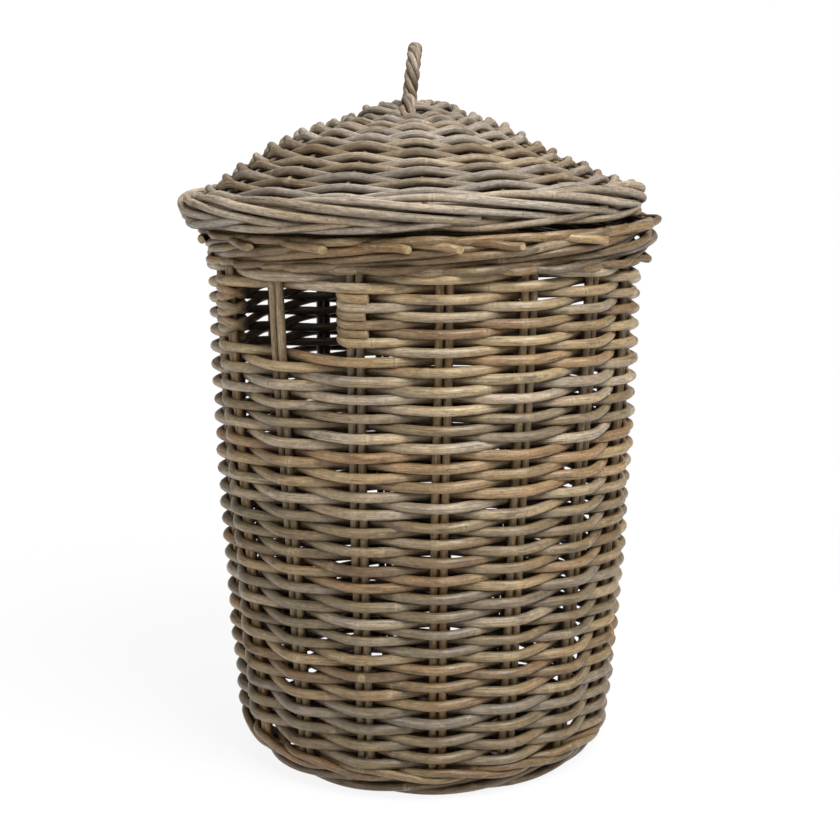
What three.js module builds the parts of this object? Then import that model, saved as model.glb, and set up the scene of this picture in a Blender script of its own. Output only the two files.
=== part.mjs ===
// Lidded laundry basket woven from cane, in millimetres, +Z up.
// The origin is on the floor under the middle of the basket, and -X points at the first hand hole.
// A cane is round on the real basket and square here, with the same area of section.
import * as THREE from "three";

// Canes
const STAKE_D = 8; // uprights, two legs to a stake
const WEAVER_D = 8.5; // woven round the wall, the base and the lid
const BORDER_D = 9; // rim and foot wales
const RIB_D = 7; // lid ribs
const LID_BORDER_D = 8;
const HANDLE_D = 5.8;
const GAP = 0.4; // between canes that touch

// Wall
const HALF_STAKES = 8;
const FOOT_R = 192; // circle of the stakes at the foot, halfway up and under the rim
const BELLY_R = 209;
const MOUTH_R = 215.5;
const ROW_GAP = 0.7; // from one row of weave to the next
const ROWS_BELOW_HOLES = 45;
const HOLE_ROWS = 6;
const ROWS_ABOVE_HOLES = 2;
const SECOND_HOLE_STAKE = 8; // the hole opposite has this stake in its middle
const WALL_WEAVERS = 7; // canes that the rows below the holes are made of

// Base
const BASE_LIFT = 3; // from the floor to the lowest cane of the base
const BEND_R = 14; // where the stakes turn up into the wall
const FOLD_BEND_R = 6; // half the width of a stake's fold under the base
const FOOT_RING_W = 15;
const FOOT_RING_CHAMFER = 3;
const FOOT_RING_INSET = 17; // from the stakes' circle in to the ring's middle
const BASE_WEAVE_R = 106; // first row of the base
const COIL_START_R = 9; // innermost turn of the centre coil

// Rim
const STAKE_END_RISE = 20; // stakes standing above the weave
const BORDER_TWISTS = 3; // turns of a twisted border in one lap

// Lid
const LID_OVERHANG = 8.5; // ends of the ribs past the stakes' circle at the mouth
const LID_SLOPE = 0.6; // rise of the ribs from the edge to the shoulder
const SHOULDER_R = 125;
const SHOULDER_SLOPE = 0.42; // rise of the ribs from the shoulder to the crown
const CROWN_R = 50; // the ribs run level inside this
const RIB_FOLD_R = 33;
const LID_ROW_GAP = 0.5;
const LID_WEAVE_R = 64; // first row of the lid
const LID_WEAVERS = 3; // canes that the lid's rows are made of
const LID_TOP_INSET = 12; // from the ends of the ribs in to the pair of canes over them
const CROWN_COIL_R = 10; // innermost turn of the crown coil
const LID_SHIFT = 10.5; // how far off centre the lid lies
const LID_SHIFT_TOWARDS = 128.7; // degrees round from +X
const LID_TILT = 1.7; // degrees
const LID_LOW_SIDE = 165; // degrees round from +X

// Handle
const HANDLE_REACH = 31; // from the middle of the loop to the middle of a leg
const HANDLE_LEG = 21; // straight part of a leg
const HANDLE_TURNS = 1.4;
const HANDLE_STRANDS = 4;
const HANDLE_TOWARDS = 38.7; // degrees round from +X, the plane of the loop
const HANDLE_LEAN = 8; // degrees

// Values that follow from those above
const STAKES = 2 * HALF_STAKES + 1; // odd, so that a spiral row passes a stake on the other side each lap
const STEP = (2 * Math.PI) / STAKES;
const SETTLING_ROUNDS = 8; // rounds in which an offset and the slope that it causes settle
const Z_AXIS = new THREE.Vector3(0, 0, 1);
const STAKE_H = squareHalf(STAKE_D);
const WEAVER_H = squareHalf(WEAVER_D);
const BORDER_H = squareHalf(BORDER_D);
const RIB_H = squareHalf(RIB_D);
const LID_BORDER_H = squareHalf(LID_BORDER_D);
const HANDLE_H = squareHalf(HANDLE_D);
const LEG_OFFSET = STAKE_H + GAP / 2;
const PAIR_HALF = LEG_OFFSET + STAKE_H;
const PITCH = WEAVER_D + ROW_GAP;
const ROWS = ROWS_BELOW_HOLES + HOLE_ROWS + ROWS_ABOVE_HOLES;
// The stakes run under the base at this height, and the folds lie as near the middle as they fit
const BASE_Z = BASE_LIFT + crossOffset(BASE_WEAVE_R * STEP, PAIR_HALF, STAKE_H) + WEAVER_H;
const FOLD_R = (FOLD_BEND_R + STAKE_H + GAP) / Math.tan(STEP / 2);
const BEND_TOP = BASE_Z + BEND_R;
const FIRST_ROW_Z = BEND_TOP + WEAVER_H + GAP;
const WEAVE_TOP = FIRST_ROW_Z + PITCH * ROWS + WEAVER_H;
const STAKE_TOP = WEAVE_TOP + STAKE_END_RISE;
const BELLY_Z = (BEND_TOP + STAKE_TOP) / 2;

// Half the side of a square with the area of a round cane's section
function squareHalf(diameter) {
  return (diameter * Math.sqrt(Math.PI)) / 4;
}

function radians(degrees) {
  return (degrees * Math.PI) / 180;
}

function outward(angle) {
  return new THREE.Vector3(Math.cos(angle), Math.sin(angle), 0);
}

function polar(angle, r, z) {
  return outward(angle).multiplyScalar(r).setZ(z);
}

// A station of a cane's path: its middle, and the direction that the top of its section faces
function station(at, up = Z_AXIS) {
  return { at, up };
}

// A square cane swept along its stations, closed by end faces or joined into a ring
function cane(stations, half, ring = false) {
  const corners = [[-1, -1], [1, -1], [1, 1], [-1, 1]];
  const count = stations.length;
  const vertices = [];
  const triangles = [];
  stations.forEach(({ at, up }, i) => {
    const before = stations[ring ? (i + count - 1) % count : Math.max(i - 1, 0)].at;
    const after = stations[ring ? (i + 1) % count : Math.min(i + 1, count - 1)].at;
    const arriving = at.clone().sub(before).normalize();
    const leaving = after.clone().sub(at).normalize();
    const along = arriving.add(leaving).normalize();
    const side = along.clone().cross(up).normalize();
    const top = side.clone().cross(along);
    for (const [s, t] of corners) {
      const corner = at.clone().addScaledVector(side, s * half).addScaledVector(top, t * half);
      vertices.push(corner.x, corner.y, corner.z);
    }
  });
  const spans = ring ? count : count - 1;
  for (let i = 0; i < spans; i++) {
    const next = (i + 1) % count;
    for (let k = 0; k < 4; k++) {
      const a = 4 * i + k;
      const b = 4 * i + ((k + 1) % 4);
      const c = 4 * next + ((k + 1) % 4);
      const d = 4 * next + k;
      triangles.push(a, d, c, a, c, b);
    }
  }
  if (!ring) {
    const last = 4 * (count - 1);
    triangles.push(0, 1, 2, 0, 2, 3);
    triangles.push(last, last + 2, last + 1, last, last + 3, last + 2);
  }
  const geometry = new THREE.BufferGeometry();
  geometry.setAttribute("position", new THREE.Float32BufferAttribute(vertices, 3));
  geometry.setIndex(triangles);
  geometry.computeVertexNormals();
  return geometry;
}

function caneMaterial(color, roughness) {
  return new THREE.MeshStandardMaterial({ color, roughness, metalness: 0 });
}

function addCane(group, name, geometry, color) {
  const mesh = new THREE.Mesh(geometry, caneMaterial(color, CANE_ROUGHNESS));
  mesh.name = name;
  group.add(mesh);
}

const CANE_ROUGHNESS = 0.6;
const STAKE_COLOR = 0x8a6f4c;
const WEAVER_COLORS = [0x8c7a62, 0x9a8668, 0x85745f, 0x93805f];
const BORDER_COLOR = 0x7d6a52;
const LID_COLOR = 0x94836d;

// Radius of the stakes' circle at a height: two straight leans, foot to belly and belly to mouth
function wallRadius(z) {
  if (z < BELLY_Z) {
    return THREE.MathUtils.mapLinear(z, BEND_TOP, BELLY_Z, FOOT_R, BELLY_R);
  }
  return THREE.MathUtils.mapLinear(z, BELLY_Z, STAKE_TOP, BELLY_R, MOUTH_R);
}

// Angle of a stake; stake 0 stands in the middle of the first hand hole
function stakeAngle(index) {
  return Math.PI + index * STEP;
}

// Offsets of a woven cane from the stakes' middle line. Its straight runs lean by these slopes where it
// passes outside and inside a stake, and have to clear the edge of the pair of legs there.
function passOffset(slope) {
  return STAKE_H + GAP + WEAVER_H * Math.hypot(1, slope) + slope * PAIR_HALF;
}

function passOffsets() {
  const run = Math.min(FOOT_R, MOUTH_R) * Math.sin(STEP);
  let outside = passOffset(0);
  let inside = passOffset(0);
  for (let i = 0; i < SETTLING_ROUNDS; i++) {
    const swing = (outside + inside) / run;
    outside = passOffset(swing + Math.tan(STEP / 2));
    inside = passOffset(Math.max(0, swing - Math.tan(STEP / 2)));
  }
  return [outside, inside];
}

const [OUTSIDE, INSIDE] = passOffsets();

// Height of a row of the wall where it passes a stake, counted from stake 0 on
function rowHeight(row, stake) {
  return FIRST_ROW_Z + PITCH * (row + stake / STAKES);
}

function wallStation(row, stake, isOutside) {
  const z = rowHeight(row, stake);
  const r = wallRadius(z) + (isOutside ? OUTSIDE : -INSIDE);
  return station(polar(stakeAngle(stake), r, z));
}

// A spiral weaver from one pass to another, passes being counted along the spiral.
// Even passes lie inside, where the ends of the canes are tucked away.
function spiralWeaver(firstPass, lastPass) {
  const stations = [];
  for (let pass = firstPass; pass <= lastPass; pass++) {
    const stake = THREE.MathUtils.euclideanModulo(pass, STAKES);
    stations.push(wallStation((pass - stake) / STAKES, stake, pass % 2 !== 0));
  }
  return cane(trimEnds(stations, WEAVER_H), WEAVER_H);
}

// Both ends stop short of the stake that they are tucked behind, clear of the next cane's end
function trimEnds(stations, half) {
  const last = stations.length - 1;
  const trimmed = [...stations];
  trimmed[0] = shortened(stations[0], stations[1].at, half);
  trimmed[last] = shortened(stations[last], stations[last - 1].at, half);
  return trimmed;
}

// The end faces of two canes that meet at a stake lean together, because each cane climbs and turns away
function shortened(end, towards, half) {
  const run = towards.clone().sub(end.at);
  const rise = Math.abs(run.dot(end.up));
  const slope = rise / Math.sqrt(run.lengthSq() - rise * rise);
  const cut = GAP + half * (slope + Math.tan(STEP / 2));
  return station(end.at.clone().addScaledVector(run.normalize(), cut), end.up);
}

// The cane of the rows between two hand holes, turning back round the stakes at both sides
function holePanel(startStake, farStake) {
  const stations = [];
  for (let row = 0; row < HOLE_ROWS; row++) {
    const wallRow = ROWS_BELOW_HOLES + row;
    const from = row % 2 === 0 ? startStake : farStake;
    const to = row % 2 === 0 ? farStake : startStake;
    const direction = Math.sign(to - from);
    for (let stake = from; stake !== to + direction; stake += direction) {
      stations.push(wallStation(wallRow, stake, (wallRow + stake) % 2 !== 0));
    }
    if (row < HOLE_ROWS - 1) {
      stations.push(...turnRound(wallRow, to, direction, (wallRow + to) % 2 !== 0));
    }
  }
  return cane(trimEnds(stations, WEAVER_H), WEAVER_H);
}

// A half turn round the edge stake of a hand hole, climbing one row
function turnRound(row, stake, direction, fromOutside) {
  const corner = (WEAVER_H + 2 * GAP) / Math.cos(Math.PI / 8);
  const diagonal = corner * Math.SQRT1_2;
  const route = [
    [PAIR_HALF, STAKE_H + corner],
    [PAIR_HALF + diagonal, STAKE_H + diagonal],
    [PAIR_HALF + corner, STAKE_H],
    [PAIR_HALF + corner, -STAKE_H],
    [PAIR_HALF + diagonal, -STAKE_H - diagonal],
    [PAIR_HALF, -STAKE_H - corner],
  ];
  const angle = stakeAngle(stake);
  const across = outward(angle + Math.PI / 2).multiplyScalar(direction);
  return route.map(([sideways, out], i) => {
    const z = rowHeight(row, stake) + (PITCH * (i + 1)) / (route.length + 1);
    const r = wallRadius(z) + (fromOutside ? out : -out);
    return station(polar(angle, r, z).addScaledVector(across, sideways));
  });
}

// A stake: a cane folded under the base, whose two legs run out side by side and up the wall
function stake(index) {
  const angle = stakeAngle(index);
  const out = outward(angle);
  const across = outward(angle + Math.PI / 2);
  const inwards = out.clone().negate();
  const bendMiddle = BEND_R * (1 - Math.SQRT1_2);
  const slant = inwards.clone().add(Z_AXIS).normalize();
  const leg = [
    [MOUTH_R, STAKE_TOP, LEG_OFFSET, inwards],
    [BELLY_R, BELLY_Z, LEG_OFFSET, inwards],
    [FOOT_R, BEND_TOP, LEG_OFFSET, inwards],
    [FOOT_R - bendMiddle, BASE_Z + bendMiddle, LEG_OFFSET, slant],
    [FOOT_R - BEND_R, BASE_Z, LEG_OFFSET, Z_AXIS],
    [FOLD_R + 2 * FOLD_BEND_R, BASE_Z, LEG_OFFSET, Z_AXIS],
    [FOLD_R, BASE_Z, FOLD_BEND_R, Z_AXIS],
    [FOLD_R - FOLD_BEND_R * Math.SQRT1_2, BASE_Z, FOLD_BEND_R * Math.SQRT1_2, Z_AXIS],
  ];
  const place = (r, z, sideways, up) => {
    return station(out.clone().multiplyScalar(r).setZ(z).addScaledVector(across, sideways), up);
  };
  const down = leg.map(([r, z, sideways, up]) => place(r, z, sideways, up));
  const tip = place(FOLD_R - FOLD_BEND_R, BASE_Z, 0, Z_AXIS);
  const back = leg.map(([r, z, sideways, up]) => place(r, z, -sideways, up)).reverse();
  return cane([...down, tip, ...back], STAKE_H);
}

const FOOT_RING_R = FOOT_R - FOOT_RING_INSET;

// How far above or below radial canes a woven cane passes, where they lie this far apart
function crossOffset(spacing, halfWidth, halfHeight) {
  const room = 1 - (2 * halfWidth) / spacing;
  let offset = halfHeight + WEAVER_H + GAP;
  for (let i = 0; i < SETTLING_ROUNDS; i++) {
    offset = (halfHeight + GAP + WEAVER_H * Math.hypot(1, (2 * offset) / spacing)) / room;
  }
  return offset;
}

// As many rows as fit between the first one and the foot ring
function baseWeaver() {
  const room = FOOT_RING_R - FOOT_RING_W / 2 - GAP - WEAVER_H - BASE_WEAVE_R;
  const rows = Math.floor(room / PITCH);
  const stations = [];
  for (let pass = 0; pass <= rows * STAKES; pass++) {
    const r = BASE_WEAVE_R + (PITCH * pass) / STAKES;
    const offset = crossOffset(r * STEP, PAIR_HALF, STAKE_H);
    stations.push(station(polar(stakeAngle(pass), r, BASE_Z + (pass % 2 ? offset : -offset))));
  }
  return cane(stations, WEAVER_H);
}

// A flat coil, wound outwards at a steady pitch as far as it has room
function flatCoil(startR, endR, z) {
  const stepsPerTurn = 13;
  const rows = Math.floor((endR - startR) / PITCH);
  const stations = [];
  for (let i = 0; i <= rows * stepsPerTurn; i++) {
    const turn = i / stepsPerTurn;
    stations.push(station(polar(turn * 2 * Math.PI, startR + PITCH * turn, z)));
  }
  return cane(stations, WEAVER_H);
}

// One strand of a border twisted from several canes; the twist keeps its strands apart
function twistOffset(strands, half) {
  return ((2 * half + GAP) * Math.SQRT2) / (2 * Math.sin(Math.PI / strands));
}

function twistPoint(angle, twist, index) {
  const { r, z, strands, half, handedness } = twist;
  const offset = twistOffset(strands, half);
  const turn = handedness * BORDER_TWISTS * angle + (2 * Math.PI * index) / strands;
  return polar(angle, r + offset * Math.cos(turn), z + offset * Math.sin(turn));
}

function twistedRing(twist, index) {
  const steps = 2 * STAKES;
  const stations = [];
  for (let i = 0; i < steps; i++) {
    stations.push(station(twistPoint((i / steps) * 2 * Math.PI, twist, index)));
  }
  return cane(stations, twist.half, true);
}

function plainRing(r, z, half) {
  const steps = 2 * STAKES;
  const stations = [];
  for (let i = 0; i < steps; i++) {
    stations.push(station(polar((i / steps) * 2 * Math.PI, r, z)));
  }
  return cane(stations, half, true);
}

// The foot ring has a flat underside, which the basket stands on
function footRing() {
  const height = BASE_Z - STAKE_H - GAP;
  const r = FOOT_RING_R;
  const half = FOOT_RING_W / 2;
  const chamfer = FOOT_RING_CHAMFER;
  const profile = [
    [r - half, chamfer],
    [r - half + chamfer, 0],
    [r + half - chamfer, 0],
    [r + half, chamfer],
    [r + half, height - chamfer],
    [r + half - chamfer, height],
    [r - half + chamfer, height],
    [r - half, height - chamfer],
    [r - half, chamfer],
  ];
  const points = profile.map(([x, y]) => new THREE.Vector2(x, y));
  return new THREE.LatheGeometry(points, 2 * STAKES).rotateX(Math.PI / 2);
}

// Rim border: a twist outside the stakes, a cane over their ends and one inside
const RIM_STRANDS = 3;
const RIM_REACH = twistOffset(RIM_STRANDS, BORDER_H) + BORDER_H;
const CHORD_DIP = PAIR_HALF * Math.tan(STEP / 4); // of a ring's flat beside a stake
const RIM_R = MOUTH_R + STAKE_H + GAP + CHORD_DIP + RIM_REACH;
const RIM_Z = WEAVE_TOP + GAP + RIM_REACH;
const RIM_TOP_Z = STAKE_TOP + GAP + BORDER_H;
const RIM_TOP = RIM_TOP_Z + BORDER_H;
const RIM_INNER_R = MOUTH_R - STAKE_H - 2 * GAP - BORDER_H;
const RIM_INNER_Z = WEAVE_TOP + GAP + BORDER_H;
// Two wales round the bottom edge: one under the first row, one round the bend of the stakes
const UPPER_WALE_R = FOOT_R + STAKE_H + GAP + CHORD_DIP + BORDER_H;
const UPPER_WALE_Z = FIRST_ROW_Z - WEAVER_H - GAP - BORDER_H;
const BEND_REACH = (BEND_R + STAKE_H + GAP + CHORD_DIP) * Math.SQRT1_2 + BORDER_H;
const LOWER_WALE_R = FOOT_R - BEND_R + BEND_REACH;
const LOWER_WALE_Z = BEND_TOP - BEND_REACH;

function basket() {
  const group = new THREE.Group();
  for (let i = 0; i < STAKES; i++) {
    addCane(group, `stake_${String(i + 1).padStart(2, "0")}`, stake(i), STAKE_COLOR);
  }
  addCane(group, "foot_ring", footRing(), BORDER_COLOR);
  addCane(group, "foot_wale_upper", plainRing(UPPER_WALE_R, UPPER_WALE_Z, BORDER_H), BORDER_COLOR);
  addCane(group, "foot_wale_lower", plainRing(LOWER_WALE_R, LOWER_WALE_Z, BORDER_H), BORDER_COLOR);
  addCane(group, "base_weaver", baseWeaver(), WEAVER_COLORS[0]);
  const coilZ = BASE_Z + STAKE_H + GAP + WEAVER_H;
  const coilEndR = BASE_WEAVE_R - 2 * (WEAVER_H + GAP);
  addCane(group, "base_centre_coil", flatCoil(COIL_START_R, coilEndR, coilZ), WEAVER_COLORS[1]);

  // The last lap below the holes stops at the near side of the first hole
  const passesBelow = ROWS_BELOW_HOLES * STAKES - 1;
  const share = 2 * Math.round(passesBelow / WALL_WEAVERS / 2);
  for (let i = 0; i < WALL_WEAVERS; i++) {
    const last = i === WALL_WEAVERS - 1 ? passesBelow : (i + 1) * share;
    const color = WEAVER_COLORS[i % WEAVER_COLORS.length];
    addCane(group, `wall_weaver_${i + 1}`, spiralWeaver(i * share, last), color);
  }
  addCane(group, "hole_weaver_front", holePanel(1, SECOND_HOLE_STAKE - 1), WEAVER_COLORS[1]);
  // The back cane's last row ends beside the first hole, where the top weaver takes over
  const backEnds = [STAKES - 1, SECOND_HOLE_STAKE + 1];
  const backRoute = HOLE_ROWS % 2 === 0 ? backEnds : backEnds.reverse();
  addCane(group, "hole_weaver_back", holePanel(...backRoute), WEAVER_COLORS[2]);
  const firstAbove = (ROWS_BELOW_HOLES + HOLE_ROWS) * STAKES - 1;
  addCane(group, "top_weaver", spiralWeaver(firstAbove, ROWS * STAKES), WEAVER_COLORS[3]);

  const rimTwist = { r: RIM_R, z: RIM_Z, strands: RIM_STRANDS, half: BORDER_H, handedness: 1 };
  for (let i = 0; i < RIM_STRANDS; i++) {
    addCane(group, `rim_outer_strand_${i + 1}`, twistedRing(rimTwist, i), BORDER_COLOR);
  }
  addCane(group, "rim_top_strand", plainRing(MOUTH_R, RIM_TOP_Z, BORDER_H), BORDER_COLOR);
  addCane(group, "rim_inner_strand", plainRing(RIM_INNER_R, RIM_INNER_Z, BORDER_H), BORDER_COLOR);
  return group;
}

// The lid in its own frame: its lowest canes at height 0, its middle at the origin
const LID_LEAN = Math.atan(LID_SLOPE);
const SHOULDER_LEAN = Math.atan(SHOULDER_SLOPE);
const LID_NORMAL_OUT = Math.sin(LID_LEAN);
const LID_NORMAL_UP = Math.cos(LID_LEAN);
const LID_TWIST = twistOffset(2, LID_BORDER_H) + LID_BORDER_H;
const LID_SEAT_R = MOUTH_R;
const LID_EDGE_R = MOUTH_R + LID_OVERHANG;
const LID_TOP_R = LID_EDGE_R - LID_TOP_INSET;
// Height of the ribs over the middle of the twisted pair under them, which they clear on the slant
const LID_CORNER = LID_BORDER_H * (LID_NORMAL_OUT + LID_NORMAL_UP);
const RIB_CLEAR = (twistOffset(2, LID_BORDER_H) + LID_CORNER + GAP + RIB_H) / LID_NORMAL_UP;
const RIB_EDGE_Z = LID_TWIST + RIB_CLEAR - (LID_EDGE_R - LID_SEAT_R) * LID_SLOPE;
const CROWN_Z = ribHeight(CROWN_R);
const CROWN_COIL_Z = CROWN_Z + RIB_H + GAP + WEAVER_H;
// Measured outwards, not down the slope, so the flatter slope decides it
const LID_PITCH = (WEAVER_D + LID_ROW_GAP) * Math.cos(Math.min(LID_LEAN, SHOULDER_LEAN));
const LID_WEAVE_ROOM = LID_TOP_R - LID_TWIST - 2 * WEAVER_H - LID_WEAVE_R;
const LID_PASSES = STAKES * Math.floor(LID_WEAVE_ROOM / LID_PITCH);

// Height of the ribs' middle line at a radius
function ribHeight(r) {
  const below = LID_EDGE_R - Math.max(r, SHOULDER_R);
  const above = SHOULDER_R - Math.min(Math.max(r, CROWN_R), SHOULDER_R);
  return RIB_EDGE_Z + below * LID_SLOPE + above * SHOULDER_SLOPE;
}

function ribAngle(index) {
  return Math.PI + index * STEP;
}

// How far the ribs lean from the level at a radius
function ribLean(r) {
  if (r === SHOULDER_R) {
    return (LID_LEAN + SHOULDER_LEAN) / 2;
  }
  return r > SHOULDER_R ? LID_LEAN : SHOULDER_LEAN;
}

function slopeNormal(angle, r) {
  return polar(angle, Math.sin(ribLean(r)), Math.cos(ribLean(r)));
}

function ribLeg(index) {
  const angle = ribAngle(index);
  const bends = [LID_EDGE_R, SHOULDER_R, CROWN_R];
  const slanted = bends.map((r) => station(polar(angle, r, ribHeight(r)), slopeNormal(angle, r)));
  return [...slanted, station(polar(angle, RIB_FOLD_R, CROWN_Z))];
}

// Two ribs from one cane folded under the crown
function ribPair(index) {
  const middle = (ribAngle(index) + ribAngle(index + 1)) / 2;
  const tip = station(polar(middle, RIB_FOLD_R - RIB_H, CROWN_Z));
  return cane([...ribLeg(index), tip, ...ribLeg(index + 1).reverse()], RIB_H);
}

function lidWeaver(firstPass, lastPass) {
  const stations = [];
  for (let pass = firstPass; pass <= lastPass; pass++) {
    const angle = ribAngle(pass);
    const r = LID_WEAVE_R + (LID_PITCH * pass) / STAKES;
    // A weaver runs straight from rib to rib, so it is already below the cone beside a rib
    const dip = RIB_H * Math.tan(STEP / 2) * Math.sin(ribLean(r));
    const offset = crossOffset(r * STEP, RIB_H, RIB_H + dip) * (pass % 2 ? 1 : -1);
    const normal = slopeNormal(angle, r);
    const at = polar(angle, r, ribHeight(r)).addScaledVector(normal, offset);
    stations.push(station(at, normal));
  }
  return cane(trimEnds(stations, WEAVER_H), WEAVER_H);
}

// Path of the handle: up one leg, over a half circle and down the other
function handlePoint(distance) {
  const arc = Math.PI * HANDLE_REACH;
  if (distance < HANDLE_LEG) {
    return { x: -HANDLE_REACH, z: distance, lean: -Math.PI };
  }
  if (distance > HANDLE_LEG + arc) {
    return { x: HANDLE_REACH, z: 2 * HANDLE_LEG + arc - distance, lean: 0 };
  }
  const turn = Math.PI - (distance - HANDLE_LEG) / HANDLE_REACH;
  return { x: HANDLE_REACH * Math.cos(turn), z: HANDLE_LEG + HANDLE_REACH * Math.sin(turn), lean: turn };
}

const HANDLE_LENGTH = 2 * HANDLE_LEG + Math.PI * HANDLE_REACH;
const HANDLE_TWIST = twistOffset(HANDLE_STRANDS, HANDLE_H);

function handleStrand(index) {
  const steps = 22;
  const across = new THREE.Vector3(0, 1, 0);
  const stations = [];
  for (let i = 0; i <= steps; i++) {
    const { x, z, lean } = handlePoint((HANDLE_LENGTH * i) / steps);
    const out = new THREE.Vector3(Math.cos(lean), 0, Math.sin(lean));
    const turn = 2 * Math.PI * (index / HANDLE_STRANDS + (HANDLE_TURNS * i) / steps);
    const at = new THREE.Vector3(x, 0, z);
    at.addScaledVector(out, HANDLE_TWIST * Math.cos(turn));
    at.addScaledVector(across, HANDLE_TWIST * Math.sin(turn));
    stations.push(station(at, across));
  }
  return cane(stations, HANDLE_H);
}

function handle() {
  const loop = new THREE.Group();
  for (let i = 0; i < HANDLE_STRANDS; i++) {
    addCane(loop, `handle_strand_${i + 1}`, handleStrand(i), LID_COLOR);
  }
  // The ends of the strands are square to their lay, so one corner of each hangs lower
  const lean = radians(HANDLE_LEAN);
  const lay = (2 * Math.PI * HANDLE_TURNS * HANDLE_TWIST) / HANDLE_LENGTH;
  const lowest = (HANDLE_TWIST + HANDLE_H) * Math.sin(lean) + HANDLE_H * lay;
  loop.position.z = CROWN_COIL_Z + WEAVER_H + GAP + lowest;
  loop.rotation.set(lean, 0, radians(HANDLE_TOWARDS), "ZXY");
  return loop;
}

function lid() {
  const group = new THREE.Group();
  for (let i = 0; i < HALF_STAKES; i++) {
    addCane(group, `lid_rib_pair_${i + 1}`, ribPair(2 * i), STAKE_COLOR);
  }
  addCane(group, "lid_rib_single", cane(ribLeg(STAKES - 1), RIB_H), STAKE_COLOR);
  const share = 2 * Math.round(LID_PASSES / LID_WEAVERS / 2);
  for (let i = 0; i < LID_WEAVERS; i++) {
    const last = i === LID_WEAVERS - 1 ? LID_PASSES : (i + 1) * share;
    addCane(group, `lid_weaver_${i + 1}`, lidWeaver(i * share, last), WEAVER_COLORS[i]);
  }
  addCane(group, "lid_crown_coil", flatCoil(CROWN_COIL_R, CROWN_R, CROWN_COIL_Z), LID_COLOR);

  const outerR = LID_EDGE_R + RIB_H * LID_NORMAL_OUT + GAP + LID_TWIST;
  const borders = {
    lid_border_under: lidTwist(LID_SEAT_R, LID_TWIST),
    lid_border_outer: lidTwist(outerR, RIB_EDGE_Z),
    lid_border_top: lidTwist(LID_TOP_R, ribHeight(LID_TOP_R) + RIB_CLEAR),
  };
  for (const [name, twist] of Object.entries(borders)) {
    for (let i = 0; i < twist.strands; i++) {
      addCane(group, `${name}_${i + 1}`, twistedRing(twist, i), LID_COLOR);
    }
  }
  group.add(handle());

  // The lid lies a little off centre and tilted
  const axis = outward(radians(LID_LOW_SIDE) + Math.PI / 2);
  group.quaternion.setFromAxisAngle(axis, radians(LID_TILT));
  group.position.copy(polar(radians(LID_SHIFT_TOWARDS), LID_SHIFT, 0));
  group.position.z = seatHeight(borders.lid_border_under, group.quaternion, group.position.clone());
  return group;
}

function lidTwist(r, z) {
  return { r, z, strands: 2, half: LID_BORDER_H, handedness: -1 };
}

// Height at which the lid settles: its lowest canes just clear those of the rim that they lie over
function seatHeight(twist, tilt, shift) {
  const samples = 12 * STAKES;
  const supports = [
    { r: MOUTH_R, reach: BORDER_H, top: RIM_TOP },
    { r: RIM_R, reach: RIM_REACH, top: RIM_Z + RIM_REACH },
  ];
  let height = 0;
  for (let i = 0; i < samples * twist.strands; i++) {
    const at = twistPoint((i / samples) * 2 * Math.PI, twist, Math.floor(i / samples));
    at.applyQuaternion(tilt).add(shift);
    for (const { r, reach, top } of supports) {
      if (Math.abs(Math.hypot(at.x, at.y) - r) < reach + twist.half) {
        height = Math.max(height, top + GAP + twist.half - at.z);
      }
    }
  }
  return height;
}

const laundryBasket = new THREE.Group();
laundryBasket.add(basket(), lid());

export default laundryBasket;
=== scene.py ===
import math
import random

import bpy
import numpy as np
from mathutils import Matrix, Vector


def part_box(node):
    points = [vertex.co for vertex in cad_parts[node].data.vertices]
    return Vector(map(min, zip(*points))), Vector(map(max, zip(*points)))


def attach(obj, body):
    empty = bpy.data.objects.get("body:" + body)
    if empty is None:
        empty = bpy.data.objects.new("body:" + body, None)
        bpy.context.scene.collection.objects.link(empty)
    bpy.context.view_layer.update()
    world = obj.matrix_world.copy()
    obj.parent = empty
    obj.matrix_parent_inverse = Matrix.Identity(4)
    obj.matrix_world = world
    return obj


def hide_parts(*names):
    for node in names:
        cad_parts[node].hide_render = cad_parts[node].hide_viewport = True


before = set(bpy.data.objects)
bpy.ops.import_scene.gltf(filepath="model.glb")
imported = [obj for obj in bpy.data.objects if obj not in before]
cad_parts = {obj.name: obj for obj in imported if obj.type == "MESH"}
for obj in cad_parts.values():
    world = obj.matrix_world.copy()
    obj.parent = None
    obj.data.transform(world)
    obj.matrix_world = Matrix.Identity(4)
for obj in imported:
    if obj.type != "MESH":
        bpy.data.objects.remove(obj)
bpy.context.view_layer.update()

# Round canes, in metres
STAKE_D = 0.0083
WEAVER_D = 0.0102
BORDER_D = 0.0084
RIB_D = 0.0044
LID_WEAVER_D = 0.0091
LID_BORDER_D = 0.0081
LID_SEAT_D = 0.0083
HANDLE_D = 0.0064
SIDES = 10  # of a cane's round
RING_STEP = 0.008  # from one ring of vertices to the next
FINE_STEP = 0.0035  # the same on the canes that turn tightly
CHAMFER = 0.0006  # on the cut ends
KNOT_EVERY = (0.16, 0.34)  # from one joint of a cane to the next
KNOT_REACH = 0.004
KNOT_SWELL = 0.05  # share of the diameter
KNOT_STEEPNESS = 1.6
KNOT_RINGS = (-1, -0.4, 0, 0.4, 1)  # rings of vertices at a joint, in reaches
KNOT_ROOM = (0.02, 0.01)  # before a cane's first joint and after its last
SWELL = (0.03, 0.12)  # how uneven a cane's thickness is, as a share, and from swell to swell
GRAIN_START = 50  # each cane's pattern begins at a place up to here
INSIDE_FACING = (-0.1, 0.8)  # how far a side is turned inwards where its painted shade begins and is full
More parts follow.
